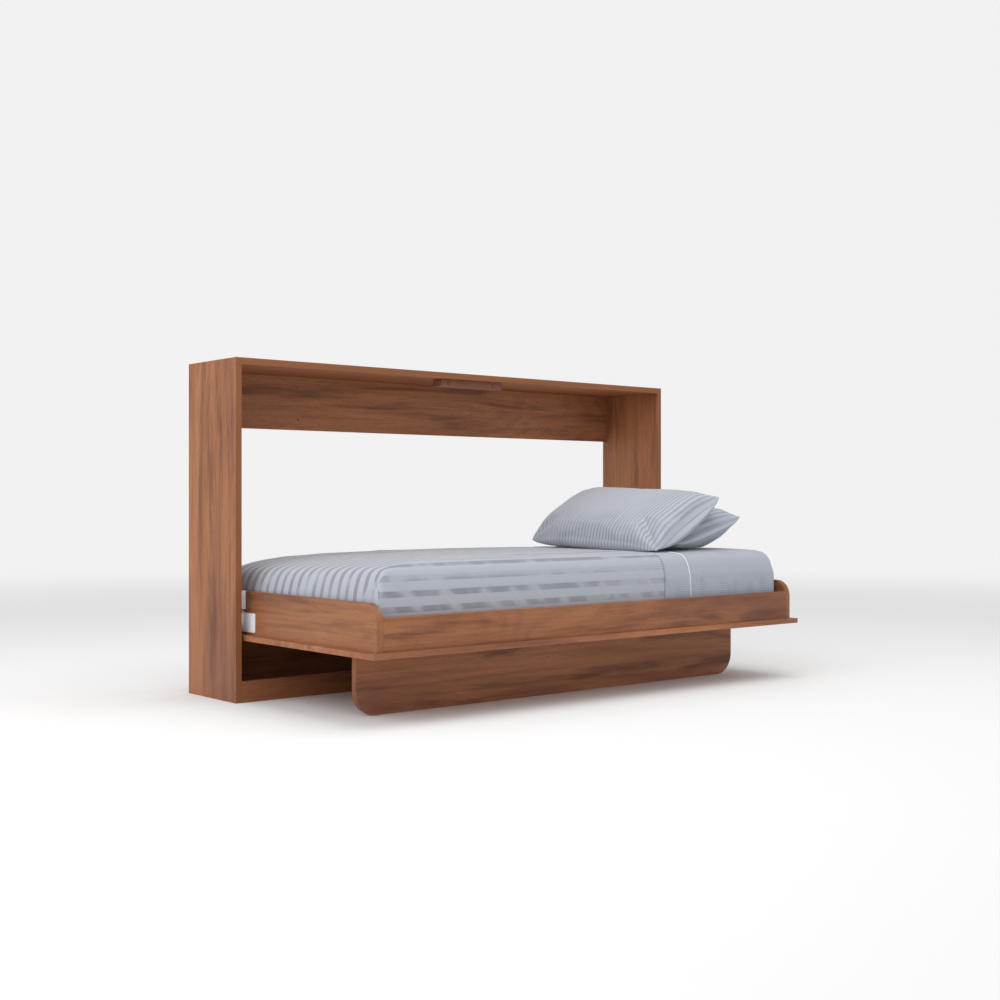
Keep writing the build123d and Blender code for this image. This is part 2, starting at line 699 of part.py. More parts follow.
def build_bed_box():
    dowels = frame_dowels()
    bracket_screws = list(bed_bracket_screws())
    angle_screws = frame_angle_screws()
    leaf_screws = hinge_face_screws()
    slat_fixings = slat_screws()
    board = end_board(dowels, bracket_screws + [s for s in angle_screws if s.center().X > 0])
    save("face_panel", face_panel(leaf_screws + angle_screws))
    save("end_board_head", board)
    save("end_board_foot", mirrored(board))
    save("front_rail", long_rail(BOARD_FRONT_Y, dowels))
    save("rear_rail", long_rail(BED_IN_REAR_Y, dowels))
    save("frame_dowels", dowels)
    save("slat_bearer_front", bearer(BED_IN_FRONT_Y, BEARER_W, slat_fixings))
    save("slat_bearer_rear", bearer(BED_IN_REAR_Y - BEARER_W, BEARER_W, slat_fixings))
    save("slat_bearer_middle", bearer(MATTRESS_Y - MIDDLE_BEARER_W / 2, MIDDLE_BEARER_W, []))
    save("slats", slats(slat_fixings))
    save("slat_screws", slat_fixings)
    save("frame_angles", frame_angles(angle_screws))
    save("frame_angle_screws", angle_screws)
    save_pair("bed_pivot_bracket", bed_pivot_bracket(bracket_screws))
    save_pair("pivot_bush", pivot_bush())
    save_pair("bed_spring_bracket", bed_spring_bracket(bracket_screws))
    save("bed_bracket_screws", both(lambda: bracket_screws))
    save("leg_hinge_fixed_leaves", hinge_fixed_leaves(leaf_screws))
    save("leg_hinge_pins", hinge_pins())
    save("leg_hinge_face_screws", leaf_screws)


def build_leg():
    leg_screws = hinge_leg_screws()
    save("leg_panel", leg_panel(leg_screws))
    save("leg_hinge_moving_leaves", hinge_moving_leaves(leg_screws))
    save("leg_hinge_leg_screws", leg_screws)


def build_springs():
    save_pair("gas_cylinder", gas_cylinder())
    save_pair("gas_cylinder_eye", gas_cylinder_eye())
    save_pair("gas_rod", gas_rod())
    save_pair("gas_rod_socket", gas_rod_socket())


def build_bedding():
    flat = FITTED_T + FLAT_T
    save("mattress", mattress())
    save("fitted_sheet", skin(0, FITTED_T, SHEET_HEM_Z, MATTRESS_L))
    save("flat_sheet", skin(FITTED_T, flat, FLAT_HEM_Z, FLAT_END_X))
    save("coverlet", skin(flat, flat + COVERLET_T, COVERLET_HEM_Z, COVERLET_END_X))
    save("pillow_back", pillow(*BACK_PILLOW))
    save("pillow_front", pillow(*FRONT_PILLOW))


os.makedirs("parts", exist_ok=True)
build_cabinet()
build_bed_box()
build_leg()
build_springs()
build_bedding()
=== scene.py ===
import math

import bmesh
import bpy
import numpy as np
from mathutils import Matrix, Vector, noise


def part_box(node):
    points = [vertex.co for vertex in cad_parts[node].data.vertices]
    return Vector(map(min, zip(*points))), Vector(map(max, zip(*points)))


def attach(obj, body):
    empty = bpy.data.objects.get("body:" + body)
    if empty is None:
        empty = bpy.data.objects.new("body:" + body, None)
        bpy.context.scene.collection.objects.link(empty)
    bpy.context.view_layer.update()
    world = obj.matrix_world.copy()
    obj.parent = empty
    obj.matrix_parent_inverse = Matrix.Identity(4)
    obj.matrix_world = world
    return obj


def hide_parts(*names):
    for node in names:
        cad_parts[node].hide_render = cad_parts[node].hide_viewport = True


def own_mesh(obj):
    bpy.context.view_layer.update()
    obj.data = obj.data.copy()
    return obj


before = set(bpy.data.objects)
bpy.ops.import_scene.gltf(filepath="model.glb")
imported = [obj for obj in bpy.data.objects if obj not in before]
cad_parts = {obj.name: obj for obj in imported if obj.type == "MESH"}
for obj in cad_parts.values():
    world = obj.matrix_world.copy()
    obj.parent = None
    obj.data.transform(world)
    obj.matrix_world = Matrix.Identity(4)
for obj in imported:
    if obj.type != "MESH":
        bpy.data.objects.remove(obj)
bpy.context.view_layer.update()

# A side-tilting wall bed, shown open: walnut cabinet, bed box, leg panel and bedding.
# Metres, +Z up, +X to the head end, -Y into the room.

# ---- the made bed, from the frame ----
COVER_LOW, COVER_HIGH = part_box("coverlet")
FITTED_LOW, FITTED_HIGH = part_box("fitted_sheet")
FLAT_LOW, FLAT_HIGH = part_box("flat_sheet")
MATTRESS_LOW, MATTRESS_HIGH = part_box("mattress")
CROWN = 0.004                   # the made bed stands this much above its flat CAD top
BED_TOP = COVER_HIGH.z + CROWN
HEAD_LEAN = 0.0060              # the head end leans in from the CAD outline
FOOT_X, HEAD_X = COVER_LOW.x, FITTED_HIGH.x - HEAD_LEAN
FRONT_Y, REAR_Y = COVER_LOW.y, COVER_HIGH.y
MIDDLE_Y = (FRONT_Y + REAR_Y) / 2
FITTED_INSET = 0.0075           # fitted sheet's face below the coverlet's face
FLAT_INSET = 0.0052
MATTRESS_INSET = 0.0130
COVERLET_THICK = 0.0042
SHEET_THICK = 0.0012


# =====================================================================
# materials
# =====================================================================
def new_material(name):
    material = bpy.data.materials.new(name)
    material.use_nodes = True
    tree = material.node_tree
    return material, tree, tree.nodes["Principled BSDF"]


def add(tree, kind, inputs=None, **settings):
    """A node with its settings, and its inputs as values or links."""
    node = tree.nodes.new(kind)
    for key, value in settings.items():
        setattr(node, key, value)
    for key, value in (inputs or {}).items():
        plug(tree, node.inputs[key], value)
    return node


def plug(tree, socket, value):
    if isinstance(value, bpy.types.NodeSocket):
        tree.links.new(value, socket)
    else:
        socket.default_value = value


def math_node(tree, operation, a, b=0.0):
    return add(tree, "ShaderNodeMath", {0: a, 1: b}, operation=operation).outputs[0]


def mix_colour(tree, factor, a, b):
    node = add(tree, "ShaderNodeMix", data_type="RGBA")
    plug(tree, node.inputs["Factor"], factor)
    plug(tree, node.inputs[6], a)
    plug(tree, node.inputs[7], b)
    return node.outputs[2]


def smooth_range(tree, value, low, high, to_low=0.0, to_high=1.0):
    node = add(tree, "ShaderNodeMapRange", interpolation_type="SMOOTHSTEP")
    for key, v in zip((0, 1, 2, 3, 4), (value, low, high, to_low, to_high)):
        plug(tree, node.inputs[key], v)
    return node.outputs[0]


def noise_of(tree, vector, scale, detail=3.0, rough=0.55, distortion=0.0):
    node = add(tree, "ShaderNodeTexNoise", {
        "Vector": vector, "Scale": scale, "Detail": detail, "Roughness": rough, "Distortion": distortion})
    return node.outputs["Fac"]


def mapped(tree, vector, scale, location=(0, 0, 0), rotation=(0, 0, 0)):
    return add(tree, "ShaderNodeMapping", {
        "Vector": vector, "Location": location, "Rotation": rotation, "Scale": scale}).outputs[0]


def bump(tree, shader, height, distance, strength=1.0):
    node = add(tree, "ShaderNodeBump", {"Height": height, "Distance": distance, "Strength": strength})
    plug(tree, shader.inputs["Normal"], node.outputs[0])


def rgb(*values):
    """A colour given as 0-255 display values, as linear values."""
    return tuple((v / 255) ** 2.2 for v in values) + (1.0,)


AXES = {"X": 0, "Y": 1, "Z": 2}


WALNUT_LIGHT = (159, 105, 70)
WALNUT_MIDDLE = (144, 92, 61)
WALNUT_DARK = (91, 55, 38)
RING_PITCH = 150.0              # growth rings per unit of the warping noise
RING_SHARE = 0.16


def walnut(name, grain, seed, tone=1.0, figure=1.0, bands="", shade_tint=(1.0, 1.0, 1.0)):
    """Walnut veneer, its grain along one axis. Faces that look along an axis in bands are edge banding.

    figure says how marked the dark heart and the purplish zones are."""
    material, tree, shader = new_material(name)
    coords = add(tree, "ShaderNodeTexCoord")
    place = (seed * 1.7, seed * 0.9, seed * 2.3)

    def grained(stretch, turn=(0, 0, 0)):
        """Coordinates squeezed along the grain, where noise makes long streaks."""
        squeeze = [1.0, 1.0, 1.0]
        squeeze[AXES[grain]] = stretch
        return mapped(tree, coords.outputs["Object"], squeeze, place, turn)

    # the tint multiplies all three walnut colours; where it is not white it is painted shade
    tint = [tone * w for w in shade_tint]
    light, middle, dark = (tuple(c * t for c, t in zip(rgb(*v), tint)) + (1.0,)
                           for v in (WALNUT_LIGHT, WALNUT_MIDDLE, WALNUT_DARK))
    broad = grained(0.16)
    zones = noise_of(tree, broad, 6.0, 3.0, 0.5, 0.2)
    colour = mix_colour(tree, smooth_range(tree, zones, 0.25, 0.75), middle, light)
    warp = noise_of(tree, grained(0.22, (0.06, 0.09, 0.05)), 3.0, 2.0, 0.4, 0.3)
    rings = math_node(tree, "SINE", math_node(tree, "MULTIPLY", warp, RING_PITCH))
    rings = smooth_range(tree, rings, -0.6, 1.0)
    ring_zone = smooth_range(tree, noise_of(tree, broad, 4.0, 1.0), 0.42, 0.62, 0.15, 1.0)
    ring_share = math_node(tree, "MULTIPLY", math_node(tree, "MULTIPLY", rings, ring_zone), RING_SHARE)
    colour = mix_colour(tree, ring_share, colour, dark)
    streaks = noise_of(tree, grained(0.030), 55.0, 5.0, 0.65)
    purple = noise_of(tree, broad, 3.6, 4.0, 0.55, 0.5)
    heart = noise_of(tree, grained(0.09, (0.02, 0.03, 0.02)), 17.0, 4.0, 0.6, 0.3)
    fine = noise_of(tree, grained(0.030), 420.0, 2.0, 0.5)
    pores = noise_of(tree, grained(0.08), 700.0, 1.0, 0.5)
    # each layer: its noise, where it starts and is full, its largest share, and its colour
    layers = (
        (streaks, 0.42, 0.75, 0.42, dark),
        (purple, 0.48, 0.68, 0.42 * figure, rgb(104, 64, 55)),
        (heart, 0.48, 0.68, 0.44 * figure, rgb(84, 50, 34)),
        (fine, 0.45, 0.75, 0.22, rgb(78, 47, 34)),
        (pores, 0.62, 0.72, 0.5, rgb(60, 36, 26)),
    )
    for value, start, full, share, shade in layers:
        colour = mix_colour(tree, smooth_range(tree, value, start, full, 0.0, share), colour, shade)
    if bands:
        normal = add(tree, "ShaderNodeSeparateXYZ", {0: coords.outputs["Normal"]})
        facing = 0.0
        for axis in bands:
            facing = math_node(tree, "ADD", facing, math_node(tree, "ABSOLUTE", normal.outputs[AXES[axis]]))
        marks = smooth_range(tree, streaks, 0.3, 0.7, 0.0, 0.35)
        banding = mix_colour(tree, marks, rgb(138, 87, 54), rgb(113, 69, 45))
        colour = mix_colour(tree, smooth_range(tree, facing, 0.75, 0.95, 0.0, 0.85), colour, banding)
    plug(tree, shader.inputs["Base Color"], colour)
    plug(tree, shader.inputs["Roughness"], smooth_range(tree, streaks, 0.2, 0.8, 0.42, 0.55))
    shader.inputs["Specular IOR Level"].default_value = 0.35
    relief = math_node(tree, "ADD", math_node(tree, "MULTIPLY", pores, -0.6), fine)
    bump(tree, shader, relief, 0.0003, 0.35)
    return material


def pale_wood(name, grain, seed):
    """Sanded birch for slats, bearers and dowels."""
    material, tree, shader = new_material(name)
    coords = add(tree, "ShaderNodeTexCoord").outputs["Object"]
    squeeze = [1.0, 1.0, 1.0]
    squeeze[AXES[grain]] = 0.07
    stretched = mapped(tree, coords, squeeze, (seed, seed, seed))
    lines = noise_of(tree, stretched, 60.0, 5.0, 0.6, 0.3)
    fibres = noise_of(tree, stretched, 500.0, 2.0)
    colour = mix_colour(tree, smooth_range(tree, lines, 0.35, 0.7), rgb(222, 196, 156), rgb(196, 160, 116))
    colour = mix_colour(tree, smooth_range(tree, fibres, 0.55, 0.8, 0.0, 0.35), colour, rgb(160, 122, 84))
    plug(tree, shader.inputs["Base Color"], colour)
    shader.inputs["Roughness"].default_value = 0.6
    bump(tree, shader, fibres, 0.0002, 0.4)
    return material


def painted(name, colour, roughness, grain_size, depth, worn=None):
    """Powder coat or moulded plastic: a fine orange-peel surface, a little rubbed at random."""
    material, tree, shader = new_material(name)
    coords = add(tree, "ShaderNodeTexCoord").outputs["Object"]
    peel = noise_of(tree, coords, 1.0 / grain_size, 2.0)
    cloud = noise_of(tree, coords, 14.0, 4.0)
    shade = worn or tuple(c * 0.86 for c in colour[:3]) + (1.0,)
    rubbed = smooth_range(tree, cloud, 0.45, 0.75)
    plug(tree, shader.inputs["Base Color"], mix_colour(tree, rubbed, colour, shade))
    plug(tree, shader.inputs["Roughness"], smooth_range(tree, cloud, 0.3, 0.7, roughness, roughness + 0.12))
    bump(tree, shader, peel, depth, 0.5)
    return material


def metal(name, colour, roughness, brushed):
    """Bare metal with fine drawn marks along X."""
    material, tree, shader = new_material(name)
    coords = add(tree, "ShaderNodeTexCoord").outputs["Object"]
    marks = noise_of(tree, mapped(tree, coords, (0.08, 1.0, 1.0)), 900.0, 2.0)
    cloud = noise_of(tree, coords, 30.0, 3.0)
    tone = tuple(c * 0.8 for c in colour[:3]) + (1.0,)
    dull = smooth_range(tree, cloud, 0.4, 0.7)
    plug(tree, shader.inputs["Base Color"], mix_colour(tree, dull, colour, tone))
    shader.inputs["Metallic"].default_value = 1.0
    rough = smooth_range(tree, marks, 0.3, 0.7, roughness, roughness + brushed)
    plug(tree, shader.inputs["Roughness"], rough)
    bump(tree, shader, marks, 0.00005, 0.3)
    return material


SHEEN_PATCH_SLANT = -42                # degrees that the patches of painted sheen lean from the stripes
SHEEN_PATCH_SIZE = (0.34, 0.080, 1.0)
THREADS = 310.0                 # weave lines per metre of cloth, in the wave texture's own scale
STITCH_PITCH = 0.009


def striped_cloth(name, period, light_share, light, dark, contrast=1.0, sheen_patch_share=0.6, stitched=False):
    """Satin-stripe cotton. The stripes run along U of the cloth's own flat coordinates, in metres.

    Where the cloth is creased its satin catches the light; this sheen is painted into the colour, fading the
    darker stripe by a mask from the mesh and by noise patches."""
    material, tree, shader = new_material(name)
    flat = add(tree, "ShaderNodeUVMap", uv_map="flat").outputs[0]
    parts = add(tree, "ShaderNodeSeparateXYZ", {0: flat})
    across = math_node(tree, "DIVIDE", parts.outputs[1], period)
    phase = math_node(tree, "FRACT", across)
    edge = min(0.06, 0.0012 / period)
    rise = smooth_range(tree, phase, 0.0, edge)
    fall = smooth_range(tree, phase, light_share, light_share + edge, 1.0, 0.0)
    satin = math_node(tree, "MULTIPLY", rise, fall)
    painted_sheen = add(tree, "ShaderNodeAttribute", attribute_name="painted_sheen").outputs["Fac"]
    slanted = add(tree, "ShaderNodeMapping", {
        "Vector": flat, "Rotation": (0, 0, math.radians(SHEEN_PATCH_SLANT)), "Scale": SHEEN_PATCH_SIZE,
    }, vector_type="TEXTURE")
    sheen_patches = noise_of(tree, slanted.outputs[0], 1.0, 2.0, 0.5, 0.4)
    lengthwise_sheen = noise_of(tree, mapped(tree, flat, (5.0, 9.0, 1.0), (4.3, 2.1, 0.0)), 1.0, 2.0)
    # painted sheen: the mesh's mask and two noise patterns fade the darker stripe, standing in for satin
    # catching the light
    fade = math_node(tree, "ADD", painted_sheen, smooth_range(tree, sheen_patches, 0.45, 0.68, 0.0, sheen_patch_share))
    fade = math_node(tree, "ADD", fade, smooth_range(tree, lengthwise_sheen, 0.48, 0.72, 0.0, 0.5 * sheen_patch_share))
    fade = math_node(tree, "MAXIMUM", math_node(tree, "MINIMUM", fade, 1.0), 0.0)
    shown = math_node(tree, "SUBTRACT", 1.0, math_node(tree, "MULTIPLY", fade, 0.85))
    darkness = math_node(tree, "MULTIPLY", math_node(tree, "SUBTRACT", 1.0, satin), shown)
    darkness = math_node(tree, "MULTIPLY", darkness, contrast)
    colour = mix_colour(tree, darkness, light, dark)
    slub = noise_of(tree, mapped(tree, flat, (60.0, 900.0, 1.0)), 1.0, 2.0)
    colour = mix_colour(tree, smooth_range(tree, slub, 0.5, 0.8, 0.0, 0.10), colour, rgb(116, 121, 133))
    if stitched:
        stitch = add(tree, "ShaderNodeAttribute", attribute_name="stitch").outputs["Fac"]
        dashes = math_node(tree, "FRACT", math_node(tree, "DIVIDE", parts.outputs[1], STITCH_PITCH))
        dash = smooth_range(tree, dashes, 0.50, 0.62, 0.0, 1.0)
        colour = mix_colour(tree, math_node(tree, "MULTIPLY", dash, stitch), colour, rgb(84, 90, 106))
    plug(tree, shader.inputs["Base Color"], colour)
    plug(tree, shader.inputs["Roughness"], smooth_range(tree, satin, 0.0, 1.0, 0.74, 0.56))
    shader.inputs["Sheen Weight"].default_value = 0.25
    shader.inputs["Sheen Roughness"].default_value = 0.4
    shader.inputs["Specular IOR Level"].default_value = 0.3
    threads = [add(tree, "ShaderNodeTexWave", {"Vector": flat, "Scale": THREADS}, bands_direction=way)
               for way in ("X", "Y")]
    crossing = math_node(tree, "MULTIPLY", *(t.outputs["Fac"] for t in threads))
    weave = math_node(tree, "ADD", crossing, math_node(tree, "MULTIPLY", slub, 0.5))
    bump(tree, shader, weave, 0.0002, 0.4)
    return material


def plain_cloth(name, colour, thread=0.0006):
    """Plain woven cloth, for piping and mattress ticking."""
    material, tree, shader = new_material(name)
    coords = add(tree, "ShaderNodeTexCoord").outputs["Object"]
    weave = noise_of(tree, coords, 1.0 / thread, 2.0)
    cloud = noise_of(tree, coords, 20.0, 3.0)
    shade = tuple(c * 0.85 for c in colour[:3]) + (1.0,)
    clouded = smooth_range(tree, cloud, 0.4, 0.7)
    plug(tree, shader.inputs["Base Color"], mix_colour(tree, clouded, colour, shade))
    shader.inputs["Roughness"].default_value = 0.8
    shader.inputs["Sheen Weight"].default_value = 0.2
    bump(tree, shader, weave, 0.0003, 0.5)
    return material


def finish_cad_nodes():
    """Each carried-over CAD node gets its real finish."""
    side = {"bands": "YZ"}
    boards = {
        "side_panel_left": walnut("walnut_side_left", "Z", 3.1, 1.18, 1.3, **side),
        "side_panel_right": walnut("walnut_side_right", "Z", 8.4, 1.30, 1.3, **side),
        # painted shade: the orange tint stands in for warm bounce light in the shade under the top panel
        "top_panel": walnut("walnut_top", "X", 1.2, 1.22, 0.9, bands="Y", shade_tint=(1.0, 0.82, 0.58)),
        "upper_back_rail": walnut("walnut_upper_rail", "X", 5.7, 1.27, 1.4),
        "lower_back_board": walnut("walnut_back_board", "X", 6.9, 1.15, 1.0),
        "kick_rail": walnut("walnut_kick", "X", 2.6, 1.16, 0.9),
        "stop_block": walnut("walnut_stop", "X", 9.9, 0.86, 0.8),
        "face_panel": walnut("walnut_face", "X", 4.3, 1.32, 0.9),
        "end_board_head": walnut("walnut_head_board", "Y", 7.5, 1.00, 1.2, bands="Z"),
        "end_board_foot": walnut("walnut_foot_board", "Y", 2.1, 1.00, 1.2, bands="Z"),
        "front_rail": walnut("walnut_front_rail", "X", 3.8, 1.17, 1.6),
        "rear_rail": walnut("walnut_rear_rail", "X", 11.2, 1.00, 1.2),
        "leg_panel": walnut("walnut_leg", "X", 12.7, 1.23, 1.8, bands="Z"),
    }
    white = painted("white_powder_coat", rgb(232, 234, 238), 0.38, 0.0009, 0.0001)
    steel = metal("zinc_steel", rgb(196, 198, 202), 0.28, 0.18)
    black = painted("spring_black_paint", rgb(24, 24, 26), 0.3, 0.0012, 0.00006, rgb(34, 34, 37))
    chrome = metal("hard_chrome", rgb(214, 216, 220), 0.08, 0.06)
    nylon = painted("nylon_bush", rgb(226, 224, 214), 0.42, 0.0015, 0.00005)
    rubber = painted("bumper_rubber", rgb(124, 80, 55), 0.7, 0.0008, 0.0001, rgb(116, 74, 51))
    slat_wood = pale_wood("birch_slats", "Y", 1.3)
    bearer_wood = pale_wood("birch_bearers", "X", 4.4)
    finishes = (
        (("cabinet_pivot_plate", "cabinet_spring_plate", "bed_pivot_bracket", "bed_spring_bracket",
          "bed_bracket_screws"), white),
        (("pivot_pin", "screws", "leg_hinge", "frame_angle"), steel),
        (("gas_cylinder", "gas_rod_socket"), black),
        (("gas_rod",), chrome),
        (("pivot_bush",), nylon),
        (("stop_bumpers",), rubber),
        (("slats",), slat_wood),
        (("slat_bearer", "dowels"), bearer_wood),
    )
    for name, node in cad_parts.items():
        material = boards.get(name)
        if material is None:
            material = next((m for keys, m in finishes if any(k in name for k in keys)), steel)
            if "gas_rod_" in name and "socket" not in name:
                material = chrome
        node.data.materials.clear()
        node.data.materials.append(material)


# =====================================================================
# the made bed: nested sheets over the mattress
# =====================================================================
def drop_long(d):
    """How far the top has fallen at a distance d inside the front or rear face."""
    return 0.075 * np.exp(-d / 0.014) + 0.012 * np.exp(-d / 0.09)


def drop_foot(d, rear):
    """The same at the foot end, where the cloth falls more gently towards the rear."""
    front_fall = 0.090 * np.exp(-d / 0.012) + 0.028 * np.exp(-d / 0.11)
    rear_fall = 0.058 * np.exp(-d / 0.020) + 0.055 * np.exp(-d / 0.17)
    return front_fall * (1 - rear) + rear_fall * rear


def drop_head(d):
    """The head end's face leans in, then turns over a tight edge."""
    return 0.170 * np.exp(-d / 0.009) + 0.012 * np.exp(-d / 0.05)


def settled(dx, rear):
    """The worn top: a little lower at the rear of the foot end, a little higher at the head end."""
    sag = 0.0075 * rear * np.clip(1 - dx / 0.62, 0, 1) ** 0.5
    return sag - HEAD_RISE * np.clip((dx - 1.25) / 0.30, 0, 1)


EDGE_STEPS = 26
EDGE_REACH = 0.16               # the finely divided strip along each edge
FRONT_START = 0.0115            # the grid over the top ends this far inside the faces
FOOT_START = 0.0050
HEAD_START = 0.012
HEAD_RISE = 0.007
SKIRT_ROWS = 26
CORNER_R = 0.007
STRIPE_SHIFT = 0.010
SHARPNESS = 6.0                 # how sharply two falling edges meet at a corner


def spread_places(length, start_low, start_high, pitch):
    """Distances from the low face: close together near both ends, evenly spaced between."""
    share = np.linspace(0, 1, EDGE_STEPS) ** 1.6
    low = start_low + share * (EDGE_REACH - start_low)
    high = length - (start_high + share[::-1] * (EDGE_REACH - start_high))
    count = max(2, round((length - 2 * EDGE_REACH) / pitch))
    return np.concatenate([low[:-1], np.linspace(EDGE_REACH, length - EDGE_REACH, count), high[1:]])


def arc_lengths(places, heights):
    """Distance along the cloth over these places."""
    return np.concatenate([[0], np.cumsum(np.hypot(np.diff(places), np.diff(heights)))])


def inverse(drop, fallen):
    """The inside distance where a face has fallen so far."""
    d = np.linspace(0, 0.2, 2001)
    return np.interp(fallen, drop(d)[::-1], d[::-1])


def rounded_corner(u, v, radius):
    """Moves distances inside two faces so that the faces meet in an arc."""
    a = np.clip((radius - u) / radius, 0, 1)
    b = np.clip((radius - v) / radius, 0, 1)
    near = (a > 0) & (b > 0)
    new_u = np.where(near, radius - radius * a * np.sqrt(1 - b * b / 2), u)
    new_v = np.where(near, radius - radius * b * np.sqrt(1 - a * a / 2), v)
    return new_u, new_v


class MadeBed:
    """One skin of the bed: a grid over the top, and rows down the faces to the hem."""

    def __init__(self, inset, hem, head_end=None, pitch=0.009):
        self.inset, self.hem, self.closed = inset, hem, head_end is None
        self.x0, self.x1 = FOOT_X + inset, HEAD_X - inset
        self.y0, self.y1 = FRONT_Y + inset, REAR_Y - inset
        self.top = BED_TOP - inset
        self.xs = spread_places(self.x1 - self.x0, FOOT_START, HEAD_START, pitch)
        if head_end is not None:
            reach = head_end - self.x0
            self.xs = np.append(self.xs[self.xs < reach - 0.3 * pitch], reach)
            self.xs = np.insert(self.xs, len(self.xs) - 1, reach - 0.003)
            self.xs = np.sort(self.xs)
        self.ys = spread_places(self.y1 - self.y0, FRONT_START, FRONT_START, pitch)
        self.places = []
        self.faces = []
        self.face_flat = []
        self.make()

    def fall(self, dx, dy):
        """How far the top has fallen at distances inside the foot and front faces."""
        width, length = self.y1 - self.y0, self.x1 - self.x0
        rear = np.clip(dy / width, 0, 1)
        falls = (drop_foot(dx, rear), drop_long(dy), drop_long(width - dy), drop_head(length - dx))
        return sum(f ** SHARPNESS for f in falls) ** (1 / SHARPNESS) + settled(dx, rear)

    def make(self):
        width, length = self.y1 - self.y0, self.x1 - self.x0
        grid_x, grid_y = np.meshgrid(self.xs, self.ys, indexing="ij")
        fallen = self.fall(grid_x, grid_y)
        middle = len(self.ys) // 2
        u = arc_lengths(self.xs, fallen[:, middle])
        v = arc_lengths(self.ys, fallen[len(self.xs) // 2])
        v = v - v[middle] + STRIPE_SHIFT
        px, py = self.turned(grid_x, grid_y, width, length)
        top = np.stack([self.x0 + px, self.y0 + py, self.top - fallen], -1)
        ni, nj = grid_x.shape
        self.places = list(top.reshape(-1, 3))
        index = np.arange(ni * nj).reshape(ni, nj)
        for i in range(ni - 1):
            for j in range(nj - 1):
                quad = ((i, j), (i + 1, j), (i + 1, j + 1), (i, j + 1))
                self.faces.append([index[q] for q in quad])
                self.face_flat.append([(u[a], v[b]) for a, b in quad])
        ring = [(i, 0) for i in range(ni - 1, -1, -1)] + [(0, j) for j in range(1, nj)]
        ring += [(i, nj - 1) for i in range(1, ni)]
        if self.closed:
            ring += [(ni - 1, j) for j in range(nj - 2, -1, -1)]
        level = {"long": fallen[ni // 2, 0], "foot": fallen[0, nj // 2], "head": fallen[-1, nj // 2]}
        made = ring[:-1] if self.closed else ring
        columns = [self.column(i, j, grid_x, grid_y, fallen, index, width, length) for i, j in made]
        if self.closed:
            columns.append(columns[0])
        for k in range(len(ring) - 1):
            self.panel(ring[k], ring[k + 1], columns[k], columns[k + 1], u, v, level)

    def turned(self, dx, dy, width, length):
        """Rounds the four upright corners in plan."""
        dx, dy = rounded_corner(dx, dy, CORNER_R)
        dx, other = rounded_corner(dx, width - dy, CORNER_R)
        dy = width - other
        if self.closed:
            back, dy = rounded_corner(length - dx, dy, CORNER_R)
            back, other = rounded_corner(back, width - dy, CORNER_R)
            dx, dy = length - back, width - other
        return dx, dy

    def column(self, i, j, grid_x, grid_y, fallen, index, width, length):
        """Points from the edge of the top down to the hem: their indices and how far each has fallen."""
        dx, dy = grid_x[i, j], grid_y[i, j]
        start = fallen[i, j]
        rear = dy / width
        depth = np.linspace(0, 1, SKIRT_ROWS + 1)[1:] * (self.top - start - self.hem)
        if i == 0:
            dx_row = inverse(lambda d: drop_foot(d, rear), drop_foot(FOOT_START, rear) + depth)
        elif self.closed and i == len(self.xs) - 1:
            dx_row = length - inverse(drop_head, drop_head(HEAD_START) + depth)
        else:
            dx_row = np.full(SKIRT_ROWS, dx)
        if j == 0:
            dy_row = inverse(drop_long, drop_long(FRONT_START) + depth)
        elif j == len(self.ys) - 1:
            dy_row = width - inverse(drop_long, drop_long(FRONT_START) + depth)
        else:
            dy_row = np.full(SKIRT_ROWS, dy)
        px, py = self.turned(dx_row, dy_row, width, length)
        found = [index[i, j]]
        for k in range(SKIRT_ROWS):
            found.append(len(self.places))
            self.places.append(np.array([self.x0 + px[k], self.y0 + py[k], self.top - start - depth[k]]))
        return found, start + np.concatenate([[0], depth])

    def panel(self, a, b, left, right, u, v, level):
        """Quads between two neighbouring columns, with the flat coordinates of their own face."""
        def flat(place, fallen):
            i, j = place
            if a[1] == b[1] == 0:
                return (u[i], v[0] - fallen + level["long"])
            if a[1] == b[1] == len(v) - 1:
                return (u[i], v[-1] + fallen - level["long"])
            if i == 0:
                return (u[0] - fallen + level["foot"], v[j])
            return (u[-1] + fallen - level["head"], v[j])
        for k in range(SKIRT_ROWS):
            self.faces.append([left[0][k], right[0][k], right[0][k + 1], left[0][k + 1]])
            self.face_flat.append([flat(a, left[1][k]), flat(b, right[1][k]),
                                   flat(b, right[1][k + 1]), flat(a, left[1][k + 1])])

    def build(self, name):
        return mesh_object(name, self.places, self.faces, self.face_flat)


def mesh_object(name, places, faces, face_flat=None):
    """A smooth-shaded mesh object, with its cloth coordinates in the UV map 'flat'."""
    mesh = bpy.data.meshes.new(name)
    mesh.from_pydata([tuple(p) for p in places], [], [[int(i) for i in f] for f in faces])
    if face_flat is not None:
        layer = mesh.uv_layers.new(name="flat")
        flat = np.array([uv for face in face_flat for uv in face], np.float32)
        layer.data.foreach_set("uv", flat.ravel())
    mesh.polygons.foreach_set("use_smooth", [True] * len(mesh.polygons))
    mesh.update()
    obj = bpy.data.objects.new(name, mesh)
    bpy.context.scene.collection.objects.link(obj)
    return obj


def points_of(obj):
    co = np.zeros(len(obj.data.vertices) * 3)
    obj.data.vertices.foreach_get("co", co)
    return co.reshape(-1, 3)


def normals_of(obj):
    normals = np.zeros(len(obj.data.vertices) * 3)
    obj.data.vertices.foreach_get("normal", normals)
    return normals.reshape(-1, 3)


def set_points(obj, co):
    obj.data.vertices.foreach_set("co", np.asarray(co, np.float32).ravel())
    obj.data.update()


def set_attribute(obj, name, values):
    layer = obj.data.attributes.get(name) or obj.data.attributes.new(name, "FLOAT", "POINT")
    layer.data.foreach_set("value", np.asarray(values, np.float32))


def read_attribute(obj, name):
    values = np.zeros(len(obj.data.vertices), np.float32)
    obj.data.attributes[name].data.foreach_get("value", values)
    return values


